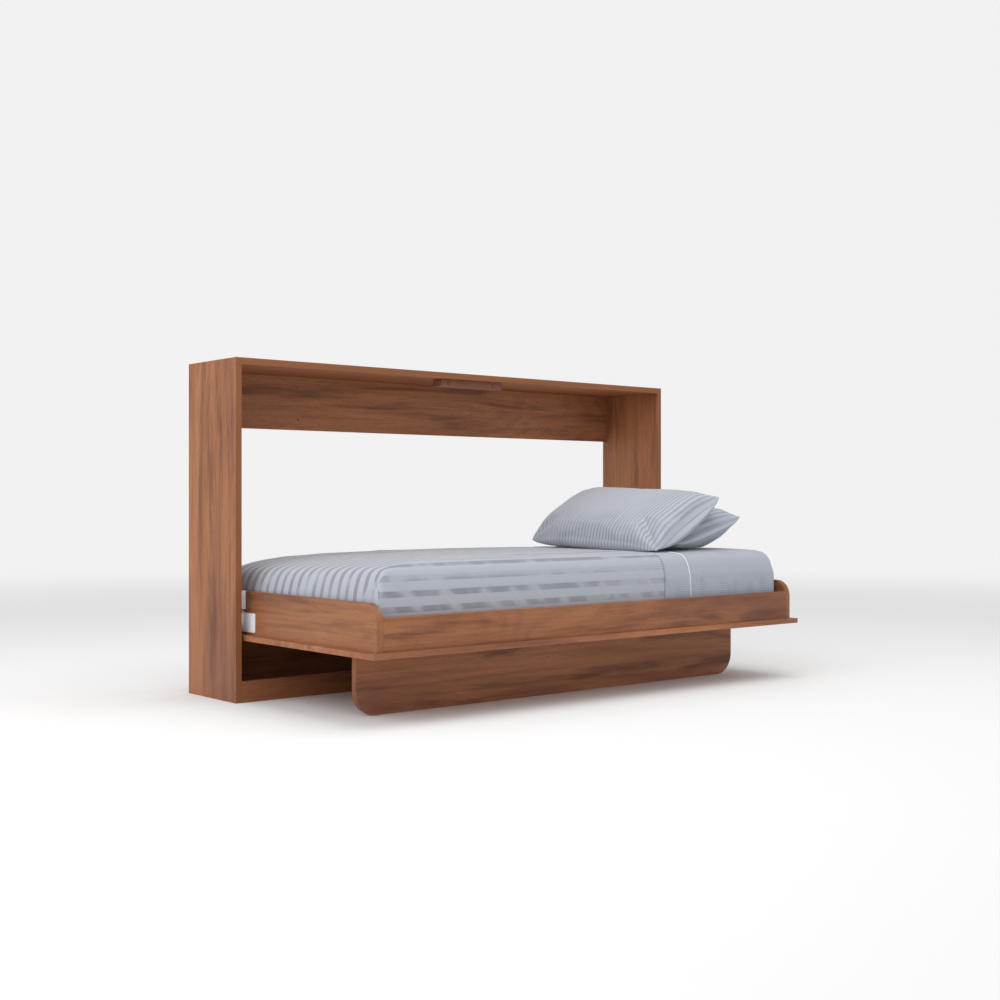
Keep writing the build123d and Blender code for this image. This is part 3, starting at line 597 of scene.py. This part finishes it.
def line_distance(px, py, path):
    """Distance of points from a bent line in their plane, and how far along it they are, 0 to 1."""
    best = np.full(px.shape, 1e9)
    along = np.zeros(px.shape)
    count = len(path) - 1
    for k in range(count):
        (ax, ay), (bx, by) = path[k], path[k + 1]
        dx, dy = bx - ax, by - ay
        t = np.clip(((px - ax) * dx + (py - ay) * dy) / (dx * dx + dy * dy), 0, 1)
        away = np.hypot(px - ax - t * dx, py - ay - t * dy)
        nearer = away < best
        best = np.where(nearer, away, best)
        along = np.where(nearer, (k + t) / count, along)
    return best, along


def ridge(px, py, path, width):
    """A soft ridge along a bent line, fading at its ends."""
    away, along = line_distance(px, py, path)
    return np.exp(-(away / width) ** 2) * np.clip(np.minimum(along, 1 - along) * 6 + 0.15, 0, 1)


def waves(co, size, seed):
    """Smooth noise at each point, about -1 to 1."""
    shift = Vector((seed * 3.1, seed * 1.7, seed * 0.6))
    return np.array([noise.noise(Vector(p) / size + shift) for p in co])


# Diagonal pull creases on the long faces: top end along X, top end height, and run along X.
PULLS = (
    (-0.905, 0.455, 0.118), (-0.725, 0.414, 0.130), (-0.560, 0.410, 0.100), (-0.436, 0.405, 0.080),
    (-0.356, 0.428, 0.075), (-0.205, 0.366, 0.032), (-0.085, 0.462, 0.030), (-0.027, 0.404, 0.052),
    (0.168, 0.444, 0.105),
)
# A crease on the foot end's flap, lighter with painted sheen: distance inside the long face, height.
FLAP_CREASE = ((0.087, 0.375), (0.060, 0.412), (0.033, 0.441))
# Long shallow creases on the top: first X, last X, distance inside the front face, height.
LONG_CREASES = (
    (-0.90, 0.26, 0.036, 0.0034), (-0.86, 0.10, 0.072, 0.00272), (-0.55, 0.28, 0.105, 0.00238),
    (-0.80, -0.20, 0.150, 0.00204), (-0.30, 0.28, 0.190, 0.00204), (-0.60, 0.15, 0.250, 0.0017),
)


def crease_bedding(obj, strength=1.0):
    """Creases and small waves of a sheet pulled over the bed, along its normals."""
    co, normals = points_of(obj), normals_of(obj)
    x, y, z = co.T
    front = np.clip(-normals[:, 1], 0, 1) ** 2
    rear = np.clip(normals[:, 1], 0, 1) ** 2
    up = np.clip(normals[:, 2], 0, 1) ** 2
    foot = np.clip(-normals[:, 0], 0, 1) ** 2
    move = 0.0008 * waves(co, 0.085, 1.0) + 0.0004 * waves(co, 0.03, 2.0)
    # painted sheen: a mask of where the darker stripes fade, along the pull creases, the flap crease and
    # near the top of the long faces
    painted_sheen = np.zeros(len(co))
    for start, height, run in PULLS:
        for face, shift in ((front, 0.0), (rear, 0.06)):
            path = [(start + shift, height), (start + shift + 0.45 * run, height - 0.42 * run),
                    (start + shift + run, height - 1.02 * run)]
            move += 0.0026 * ridge(x, z, path, 0.007) * face
            lower = [(px + 0.014, pz - 0.006) for px, pz in path]
            move -= 0.0018 * ridge(x, z, lower, 0.008) * face
            painted_sheen += 1.1 * ridge(x, z, path, 0.016) * face
    for first, last, inside, height in LONG_CREASES:
        for edge, sign in ((FRONT_Y, 1), (REAR_Y, -1)):
            place = edge + sign * inside
            path = [(first, place), ((first + last) / 2, place + sign * 0.006), (last, place - sign * 0.004)]
            move += height * ridge(x, y, path, 0.008) * up
    for face_y, sign in ((FRONT_Y, 1), (REAR_Y, -1)):
        path = [(face_y + sign * across, height) for across, height in FLAP_CREASE]
        move += 0.0030 * ridge(y, z, path, 0.0035) * foot
        painted_sheen += 1.2 * ridge(y, z, path, 0.012) * foot
        shoulder = np.clip(1 - np.abs(y - face_y) / 0.05, 0, 1) * np.clip((z - 0.442) / 0.010, 0, 1)
        painted_sheen += 0.75 * shoulder * np.clip((x - FOOT_X) / 0.05, 0, 1)
    # more painted sheen on the long faces towards the head end and near their top, less on the top of the
    # bed
    painted_sheen += 0.30 * np.clip((x + 0.55) / 0.6, 0, 1) * (front + rear) - 0.55 * up
    painted_sheen += 0.35 * np.clip((z - 0.415) / 0.02, 0, 1) * (front + rear)
    move += 0.0007 * np.sin(y / 0.021) * foot * np.clip((BED_TOP - z) / 0.1, 0, 1)
    set_points(obj, co + normals * (move * strength)[:, None])
    set_attribute(obj, "painted_sheen", np.clip(painted_sheen, -1, 1))


TUCK_HEIGHT = 0.4535            # the folded corner's lip
TUCK_DEPTH = 0.0046
TUCK_LAP = 0.0054               # the foot-end cloth laps this far round the corner


def tuck_corner(obj):
    """The folded corner at the foot: the foot-end cloth laps over the long face, which lies in behind it."""
    co = points_of(obj)
    x, y, z = co.T
    from_foot = x - FOOT_X
    for face_y, sign in ((FRONT_Y, 1), (REAR_Y, -1)):
        close = np.abs(y - face_y) < 0.020
        lip = TUCK_HEIGHT - np.clip(from_foot - 0.055, 0, None)
        under = 1 / (1 + np.exp(-(lip - z) / 0.0012))
        past = 1 / (1 + np.exp(-(from_foot - TUCK_LAP) / 0.0001))
        fade = np.clip(1.15 - from_foot / 0.16, 0, 1)
        y = y + sign * TUCK_DEPTH * under * past * fade * close
    set_points(obj, np.stack([x, y, z], -1))


# Gathered vertical tucks of the sheets near the head end: place along X, width, height above BUNDLE_FOOT.
BUNDLES = (
    (0.385, 0.020, 0.05), (0.515, 0.012, 0.09), (0.625, 0.016, 0.05), (0.665, 0.014, 0.04),
    (0.700, 0.012, 0.06), (0.790, 0.020, 0.05), (0.86, 0.02, 0.06),
)
BUNDLE_FOOT = 0.345
BUNDLE_PITCH = 0.0045


def tuck_bundles(obj):
    """Painted sheen fades the stripes on the long faces of the sheets; they stay clear where the cloth is
    gathered.
    """
    co, normals = points_of(obj), normals_of(obj)
    x, z = co[:, 0], co[:, 2]
    face = np.abs(normals[:, 1]) ** 2
    move, painted_sheen = np.zeros(len(co)), 0.40 * face
    for place, width, height in BUNDLES:
        near = np.exp(-((x - place) / width) ** 2) * np.clip((BUNDLE_FOOT + height - z) / 0.03, 0, 1)
        move += 0.0012 * near * np.cos((x - place) / BUNDLE_PITCH) * face
        painted_sheen -= 1.3 * near * face
    set_points(obj, co + normals * move[:, None])
    set_attribute(obj, "painted_sheen", read_attribute(obj, "painted_sheen") + painted_sheen)


def thicken(obj, thickness):
    modifier = obj.modifiers.new("cloth", "SOLIDIFY")
    modifier.thickness = thickness
    modifier.offset = -1.0


STITCH_LENGTH = 0.0065
SHEET_LEAN = 0.012              # the flat sheet's head edge leans this far towards the foot


def mark_stitches(obj, head_end):
    """A stitched line just inside a place along X."""
    away = head_end - points_of(obj)[:, 0]
    set_attribute(obj, "stitch", ((away > -0.001) & (away < STITCH_LENGTH)).astype(float))


def tube(name, line, radius, sides=10):
    """A round tube along a line of points."""
    line = np.asarray(line, float)
    tangent = np.gradient(line, axis=0)
    tangent /= np.linalg.norm(tangent, axis=1)[:, None]
    side = np.tile([1.0, 0.0, 0.0], (len(line), 1))
    side -= (side * tangent).sum(1)[:, None] * tangent
    side /= np.linalg.norm(side, axis=1)[:, None]
    other = np.cross(tangent, side)
    turn = np.linspace(0, 2 * math.pi, sides, endpoint=False)
    turn = turn[None, :, None]
    rings = line[:, None] + radius * (np.cos(turn) * side[:, None] + np.sin(turn) * other[:, None])
    faces = []
    for k in range(len(line) - 1):
        for s in range(sides):
            n = (s + 1) % sides
            faces.append([k * sides + s, k * sides + n, (k + 1) * sides + n, (k + 1) * sides + s])
    faces.append(list(range(sides))[::-1])
    faces.append([(len(line) - 1) * sides + s for s in range(sides)])
    return mesh_object(name, rings.reshape(-1, 3), faces)


def edge_line(bed, x):
    """The line over a skin of the bed at one place along X, hem to hem."""
    width = bed.y1 - bed.y0
    dx = x - bed.x0
    down = np.linspace(1, 0, SKIRT_ROWS + 1)[:-1]
    start = bed.fall(dx, FRONT_START)
    depth = down * (bed.top - start - bed.hem)
    d = inverse(drop_long, drop_long(FRONT_START) + depth)
    side = np.stack([np.full(len(d), x), bed.y0 + d, bed.top - start - depth], -1)
    over = np.stack([np.full(len(bed.ys), x), bed.y0 + bed.ys, bed.top - bed.fall(dx, bed.ys)], -1)
    other = side[::-1].copy()
    other[:, 1] = bed.y0 + bed.y1 - other[:, 1]
    return np.concatenate([side, over, other])


def slanted(co, bed, lean):
    """Leans a head edge towards the foot as it goes up."""
    rise = np.clip((co[:, 2] - bed.hem) / (bed.top - bed.hem), 0, 1)
    near = np.clip((co[:, 0] - (bed.x0 + 0.9)) / 0.4, 0, 1)
    out = co.copy()
    out[:, 0] -= lean * rise * near
    return out


def make_bedding():
    fine = dict(period=0.009, light_share=0.55, light=rgb(168, 174, 184), dark=rgb(134, 140, 152))
    fitted_cloth = striped_cloth("fitted_sheet_cloth", **fine, contrast=0.6, sheen_patch_share=1.5, stitched=True)
    flat_cloth = striped_cloth("flat_sheet_cloth", **fine, contrast=0.6, sheen_patch_share=1.5)
    cover_cloth = striped_cloth("coverlet_cloth", 0.048, 0.60, rgb(170, 175, 184), rgb(136, 138, 148),
                                sheen_patch_share=0.75, stitched=True)
    fitted_bed = MadeBed(FITTED_INSET, FITTED_LOW.z, pitch=0.010)
    fitted = fitted_bed.build("fitted_sheet_cloth_piece")
    crease_bedding(fitted, 0.35)
    tuck_bundles(fitted)
    mark_stitches(fitted, fitted_bed.x1 - 0.004)
    thicken(fitted, SHEET_THICK)
    dress(fitted, fitted_cloth, "fitted_sheet")

    flat_x = FLAT_HIGH.x
    flat_bed = MadeBed(FLAT_INSET, FLAT_LOW.z, flat_x, pitch=0.010)
    flat = flat_bed.build("flat_sheet_cloth_piece")
    crease_bedding(flat, 0.4)
    tuck_bundles(flat)
    set_points(flat, slanted(points_of(flat), flat_bed, SHEET_LEAN))
    thicken(flat, SHEET_THICK)
    dress(flat, flat_cloth, "flat_sheet")
    piping_line = slanted(edge_line(flat_bed, flat_x), flat_bed, SHEET_LEAN)
    piping = tube("flat_sheet_piping", piping_line + np.array([0.0006, 0, 0]), 0.0017)
    piping.data.materials.append(plain_cloth("white_piping", rgb(236, 238, 242)))
    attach(piping, "bed")

    cover_x = COVER_HIGH.x
    cover_bed = MadeBed(0.0, COVER_LOW.z, cover_x, pitch=0.007)
    cover = cover_bed.build("coverlet_cloth_piece")
    crease_bedding(cover)
    tuck_corner(cover)
    mark_stitches(cover, cover_x)
    thicken(cover, COVERLET_THICK)
    dress(cover, cover_cloth, "coverlet")

    make_mattress(plain_cloth("mattress_ticking", rgb(226, 226, 224)))


def dress(obj, material, node):
    """Gives a soft piece its cloth and its body, and hides the CAD solid that it stands for."""
    obj.data.materials.clear()
    obj.data.materials.append(material)
    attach(obj, "bed")
    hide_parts(node)


def make_mattress(ticking):
    """The mattress under the sheets: soft sides, closed below."""
    bed = MadeBed(MATTRESS_INSET, MATTRESS_LOW.z + 0.006, pitch=0.02)
    obj = bed.build("mattress_piece")
    close_below(obj)
    dress(obj, ticking, "mattress")


def close_below(obj):
    """Fills the open bottom of the mattress with one inset face."""
    bm = bmesh.new()
    bm.from_mesh(obj.data)
    rim = [e for e in bm.edges if e.is_boundary]
    made = bmesh.ops.contextual_create(bm, geom=rim)["faces"]
    bmesh.ops.inset_region(bm, faces=made, thickness=0.012, depth=0.005)
    bmesh.ops.recalc_face_normals(bm, faces=bm.faces)
    for face in bm.faces:
        face.smooth = True
    bm.to_mesh(obj.data)
    bm.free()


# =====================================================================
# pillows
# =====================================================================
PILLOW_ACROSS = 56
PILLOW_ALONG = 88
PILLOW_CLOTH_SHARE = (0.55, 0.54)   # flat cloth across and along, as shares of the pillow's size
UPPER_PULL = 0.020              # how far the filling draws in the upper long seam
LOWER_PULL = -0.010             # the lower long seam sags outwards
END_PULL = 0.012
CORNER_POWER = 18.0             # higher gives sharper pillow corners
END_BELLY = 0.22                # how far the underside swells out past the end seams
SEAM_FREEDOM = 0.25             # how far the seam follows the inflated cloth


def pillow_shell(name, across, along, above, below):
    """A closed pillow in its own frame: its short side along X, its long side along Y, its seam at Z 0."""
    p = np.linspace(-1, 1, PILLOW_ACROSS + 1)
    q = np.linspace(-1, 1, PILLOW_ALONG + 1)
    grid_p, grid_q = np.meshgrid(p, q, indexing="ij")
    rounding = (np.abs(grid_p) ** CORNER_POWER + np.abs(grid_q) ** CORNER_POWER + 1e-9) ** (1 / CORNER_POWER)
    inward = np.maximum(np.abs(grid_p), np.abs(grid_q)) / rounding
    pulled = np.where(grid_p > 0, UPPER_PULL, LOWER_PULL) * np.abs(grid_p)
    x = grid_p * across / 2 - np.sign(grid_p) * pulled * (1 - np.abs(grid_q) ** 2.4)
    y = grid_q * along / 2 * (1 - END_PULL * (1 - np.abs(grid_p) ** 2.4))
    dome = ((1 - np.abs(grid_p) ** 2.6) * (1 - np.abs(grid_q) ** 5.0)) ** 0.62 * (1 - 0.20 * grid_p)
    x, y = x * inward, y * inward
    bulge = END_BELLY * (1 - np.abs(grid_p) ** 3) * np.abs(grid_q) ** 4 * (1 - np.abs(grid_q) ** 16)
    share_p, share_q = PILLOW_CLOTH_SHARE
    places, faces, flats = [], [], []
    index = {}
    for side, height in ((0, above), (1, -below)):
        for i in range(PILLOW_ACROSS + 1):
            for j in range(PILLOW_ALONG + 1):
                rim = i in (0, PILLOW_ACROSS) or j in (0, PILLOW_ALONG)
                key = (i, j) if rim else (i, j, side)
                if key not in index:
                    index[key] = len(places)
                    places.append((x[i, j], y[i, j] * (1 + side * bulge[i, j]), height * dome[i, j]))
    for side in (0, 1):
        for i in range(PILLOW_ACROSS):
            for j in range(PILLOW_ALONG):
                quad = [(i, j), (i + 1, j), (i + 1, j + 1), (i, j + 1)]
                if side:
                    quad.reverse()
                keys = []
                for a, b in quad:
                    rim = a in (0, PILLOW_ACROSS) or b in (0, PILLOW_ALONG)
                    keys.append(index[(a, b) if rim else (a, b, side)])
                faces.append(keys)
                flats.append([(p[a] * across * share_p, q[b] * along * share_q) for a, b in quad])
    return mesh_object(name, places, faces, flats)


def place_pillow(obj, centre, tilt, roll, yaw):
    """Leans a pillow back about Y, lifts its far end, turns it, and puts its seam's middle at a point."""
    turn = Matrix.Translation(centre) @ Matrix.Rotation(yaw, 4, "Z") @ Matrix.Rotation(roll, 4, "X")
    turn = turn @ Matrix.Rotation(-tilt, 4, "Y")
    obj.data.transform(turn)
    obj.data.update()


def collider(obj):
    obj.modifiers.new("hit", "COLLISION")
    obj.collision.thickness_outer = 0.004
    obj.collision.cloth_friction = 8.0
    return obj


def bed_collider():
    """A plain slab under the pillows while they are simulated."""
    half, middle_x, thick = 0.8, 0.5, 0.05
    levels = (BED_TOP - thick, BED_TOP - 0.002)
    places = [(sx * half + middle_x, sy * half, z) for z in levels for sx in (-1, 1) for sy in (-1, 1)]
    faces = [(0, 1, 3, 2), (4, 6, 7, 5), (0, 4, 5, 1), (1, 5, 7, 3), (3, 7, 6, 2), (2, 6, 4, 0)]
    return collider(mesh_object("bed_hit", places, faces))


PRESSURE = 4.0
SIM_FRAMES = 20
CLOTH_GROWTH = 0.05
MOVE_CAP = 0.026                # no point of a pillow moves further than this while it is inflated


def inflate(obj, pinned, freedom):
    """Cloth simulation with air pressure inside; the result is applied to the mesh."""
    before = points_of(obj)
    group = obj.vertex_groups.new(name="pinned")
    for i, weight in pinned.items():
        group.add([i], weight, "REPLACE")
    modifier = obj.modifiers.new("Cloth", "CLOTH")
    cloth = modifier.settings
    cloth.quality = 6
    cloth.mass = 0.25
    cloth.tension_stiffness = cloth.compression_stiffness = 12.0
    cloth.shear_stiffness = 6.0
    cloth.bending_stiffness = 0.35
    cloth.shrink_min = -CLOTH_GROWTH
    cloth.use_pressure = True
    cloth.uniform_pressure_force = PRESSURE
    cloth.effector_weights.gravity = 0.0
    cloth.vertex_group_mass = "pinned"
    modifier.collision_settings.collision_quality = 3
    modifier.collision_settings.distance_min = 0.003
    modifier.collision_settings.use_self_collision = False
    scene = bpy.context.scene
    scene.frame_start = 1
    scene.frame_end = SIM_FRAMES
    modifier.point_cache.frame_start = 1
    modifier.point_cache.frame_end = SIM_FRAMES
    for f in range(1, SIM_FRAMES + 1):
        scene.frame_set(f)
    graph = bpy.context.evaluated_depsgraph_get()
    shaped = obj.evaluated_get(graph).to_mesh()
    after = np.zeros(len(before) * 3)
    shaped.vertices.foreach_get("co", after)
    after = after.reshape(-1, 3)
    obj.modifiers.remove(modifier)
    move = after - before
    length = np.linalg.norm(move, axis=1)[:, None]
    move *= np.minimum(1, MOVE_CAP / np.maximum(length, 1e-9)) * freedom[:, None]
    set_points(obj, before + move)
    scene.frame_set(1)


def subdivide(obj):
    modifier = obj.modifiers.new("smooth", "SUBSURF")
    modifier.levels = modifier.render_levels = 1
    bpy.context.view_layer.update()
    graph = bpy.context.evaluated_depsgraph_get()
    mesh = bpy.data.meshes.new_from_object(obj.evaluated_get(graph))
    obj.modifiers.remove(modifier)
    old = obj.data
    obj.data = mesh
    bpy.data.meshes.remove(old)


def wrinkle_pillow(obj, across, along):
    """A groove beside the seam, a hem line above the lower seam, and small gathers rising from it."""
    p, q = read_attribute(obj, "across"), read_attribute(obj, "along")
    from_seam = np.minimum((1 - np.abs(p)) * across / 2, (1 - np.abs(q)) * along / 2)
    groove = np.exp(-((from_seam - 0.007) / 0.003) ** 2)
    hem = np.exp(-((p + 0.93) / 0.020) ** 2) * np.clip((0.95 - np.abs(q)) / 0.2, 0, 1)
    gathers = waves(np.stack([p * 0.25, q * 2.2, np.zeros(len(p))], -1), 0.11, 5.0)
    low = np.clip((0.15 - p) / 0.5, 0, 1) * np.clip((p + 1.0) / 0.1, 0, 1)
    broad = waves(np.stack([p * 0.9, q, np.zeros(len(p))], -1), 0.30, 9.0)
    middle = 1 - np.maximum(np.abs(p), np.abs(q)) ** 4
    move = 0.0014 * gathers * low + 0.0030 * broad * middle - 0.0010 * hem - 0.0028 * groove
    set_points(obj, points_of(obj) + normals_of(obj) * move[:, None])


def make_pillow(name, node, size, centre, turns, cloth):
    across, along, above, below = size
    obj = pillow_shell(name, across, along, above, below)
    start = points_of(obj)
    p, q = start[:, 0] / (across / 2), start[:, 1] / (along / 2)
    pins = {int(i): 1.0 for i in np.nonzero((np.abs(p) > 0.93) & (np.abs(q) > 0.94))[0]}
    to_seam = np.minimum(1 - np.minimum(np.abs(p), 1), (1 - np.minimum(np.abs(q), 1)) * along / across)
    freedom = SEAM_FREEDOM + (1 - SEAM_FREEDOM) * np.clip(to_seam / 0.30, 0, 1)
    # painted sheen fades the stripes over most of the pillow, but not along its lower long seam and one end
    sheen_area = np.clip(np.minimum(p + 0.58 + 0.10 * np.sin(9 * q), q + 0.62) / 0.40, 0, 1)
    for key, values in (("across", p), ("along", q), ("painted_sheen", sheen_area)):
        set_attribute(obj, key, values)
    place_pillow(obj, Vector(centre), *(math.radians(t) for t in turns))
    inflate(obj, pins, freedom)
    subdivide(obj)
    wrinkle_pillow(obj, across, along)
    dress(obj, cloth, node)
    return obj


def make_pillows():
    cloth = striped_cloth("pillow_cloth", 0.019, 0.55, rgb(170, 175, 184), rgb(136, 141, 153),
                          contrast=0.75, sheen_patch_share=0.35)
    slab = bed_collider()
    back = make_pillow("pillow_back_piece", "pillow_back", (0.427, 0.712, 0.050, 0.058),
                       (0.676, -0.030, 0.574), (14.0, 0.0, 0.0), cloth)
    collider(back)
    front = make_pillow("pillow_front_piece", "pillow_front", (0.415, 0.741, 0.058, 0.060),
                        (0.554, -0.040, 0.6135), (30.5, 2.0, -1.0), cloth)
    back.modifiers.clear()
    bpy.data.objects.remove(slab)
    for obj in (back, front):
        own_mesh(obj)


# =====================================================================
# stage, light and camera
# =====================================================================
FLOOR_SHADES = ((0.83, 0.83, 0.83, 1), (0.835, 0.835, 0.835, 1))
FLOOR_FADE = (2.2, 9.5)         # the floor thins out into the backdrop between these distances
CAMERA_PLACE = (-3.3795, -3.9656, 0.6899)
CAMERA_TURN = -40               # degrees about Z; the camera is level
LENS = 50.0


def make_stage():
    radius, parts = 30.0, 96
    turn = np.linspace(0, 2 * math.pi, parts, endpoint=False)
    places = [(radius * math.cos(t), radius * math.sin(t), 0.0) for t in turn]
    floor = mesh_object("floor", places, [list(range(parts))])
    material, tree, shader = new_material("pale_floor")
    coords = add(tree, "ShaderNodeTexCoord").outputs["Object"]
    distance = add(tree, "ShaderNodeVectorMath", {0: coords}, operation="LENGTH").outputs["Value"]
    tone = noise_of(tree, coords, 3.0, 2.0)
    colour = mix_colour(tree, tone, FLOOR_SHADES[0], FLOOR_SHADES[1])
    plug(tree, shader.inputs["Base Color"], colour)
    shader.inputs["Roughness"].default_value = 0.9
    shader.inputs["Specular IOR Level"].default_value = 0.0
    clear = add(tree, "ShaderNodeBsdfTransparent")
    mixer = add(tree, "ShaderNodeMixShader", {0: smooth_range(tree, distance, *FLOOR_FADE)})
    tree.links.new(shader.outputs[0], mixer.inputs[1])
    tree.links.new(clear.outputs[0], mixer.inputs[2])
    tree.links.new(mixer.outputs[0], tree.nodes["Material Output"].inputs["Surface"])
    floor.data.materials.append(material)


def area_light(name, place, target, size, power):
    data = bpy.data.lights.new(name, "AREA")
    data.shape = "RECTANGLE"
    data.size, data.size_y = size
    data.energy = power
    obj = bpy.data.objects.new(name, data)
    obj.location = place
    obj.rotation_euler = (Vector(target) - Vector(place)).to_track_quat("-Z", "Y").to_euler()
    bpy.context.scene.collection.objects.link(obj)
    return obj


def make_light():
    world = bpy.data.worlds.new("studio")
    world.use_nodes = True
    tree = world.node_tree
    background = tree.nodes["Background"]
    ray = add(tree, "ShaderNodeLightPath").outputs["Is Camera Ray"]
    plug(tree, background.inputs[0], mix_colour(tree, ray, (1.0, 1.0, 1.0, 1), (0.885, 0.885, 0.885, 1)))
    plug(tree, background.inputs[1], math_node(tree, "ADD", 0.72, math_node(tree, "MULTIPLY", ray, 0.28)))
    bpy.context.scene.world = world
    area_light("key", (-4.8, -0.9, 3.3), (0, 0, 0.4), (5.5, 4.5), 138)
    area_light("top", (0.3, -0.8, 4.2), (0, 0, 0), (4.0, 3.0), 70)
    bpy.context.scene.view_settings.view_transform = "Standard"


def make_camera():
    data = bpy.data.cameras.new("camera")
    data.lens = LENS
    data.sensor_width = 36.0
    camera = bpy.data.objects.new("camera", data)
    camera.location = CAMERA_PLACE
    camera.rotation_euler = (math.radians(90), 0, math.radians(CAMERA_TURN))
    bpy.context.scene.collection.objects.link(camera)
    bpy.context.scene.camera = camera


make_camera()
make_stage()
make_light()
finish_cad_nodes()
make_bedding()
make_pillows()
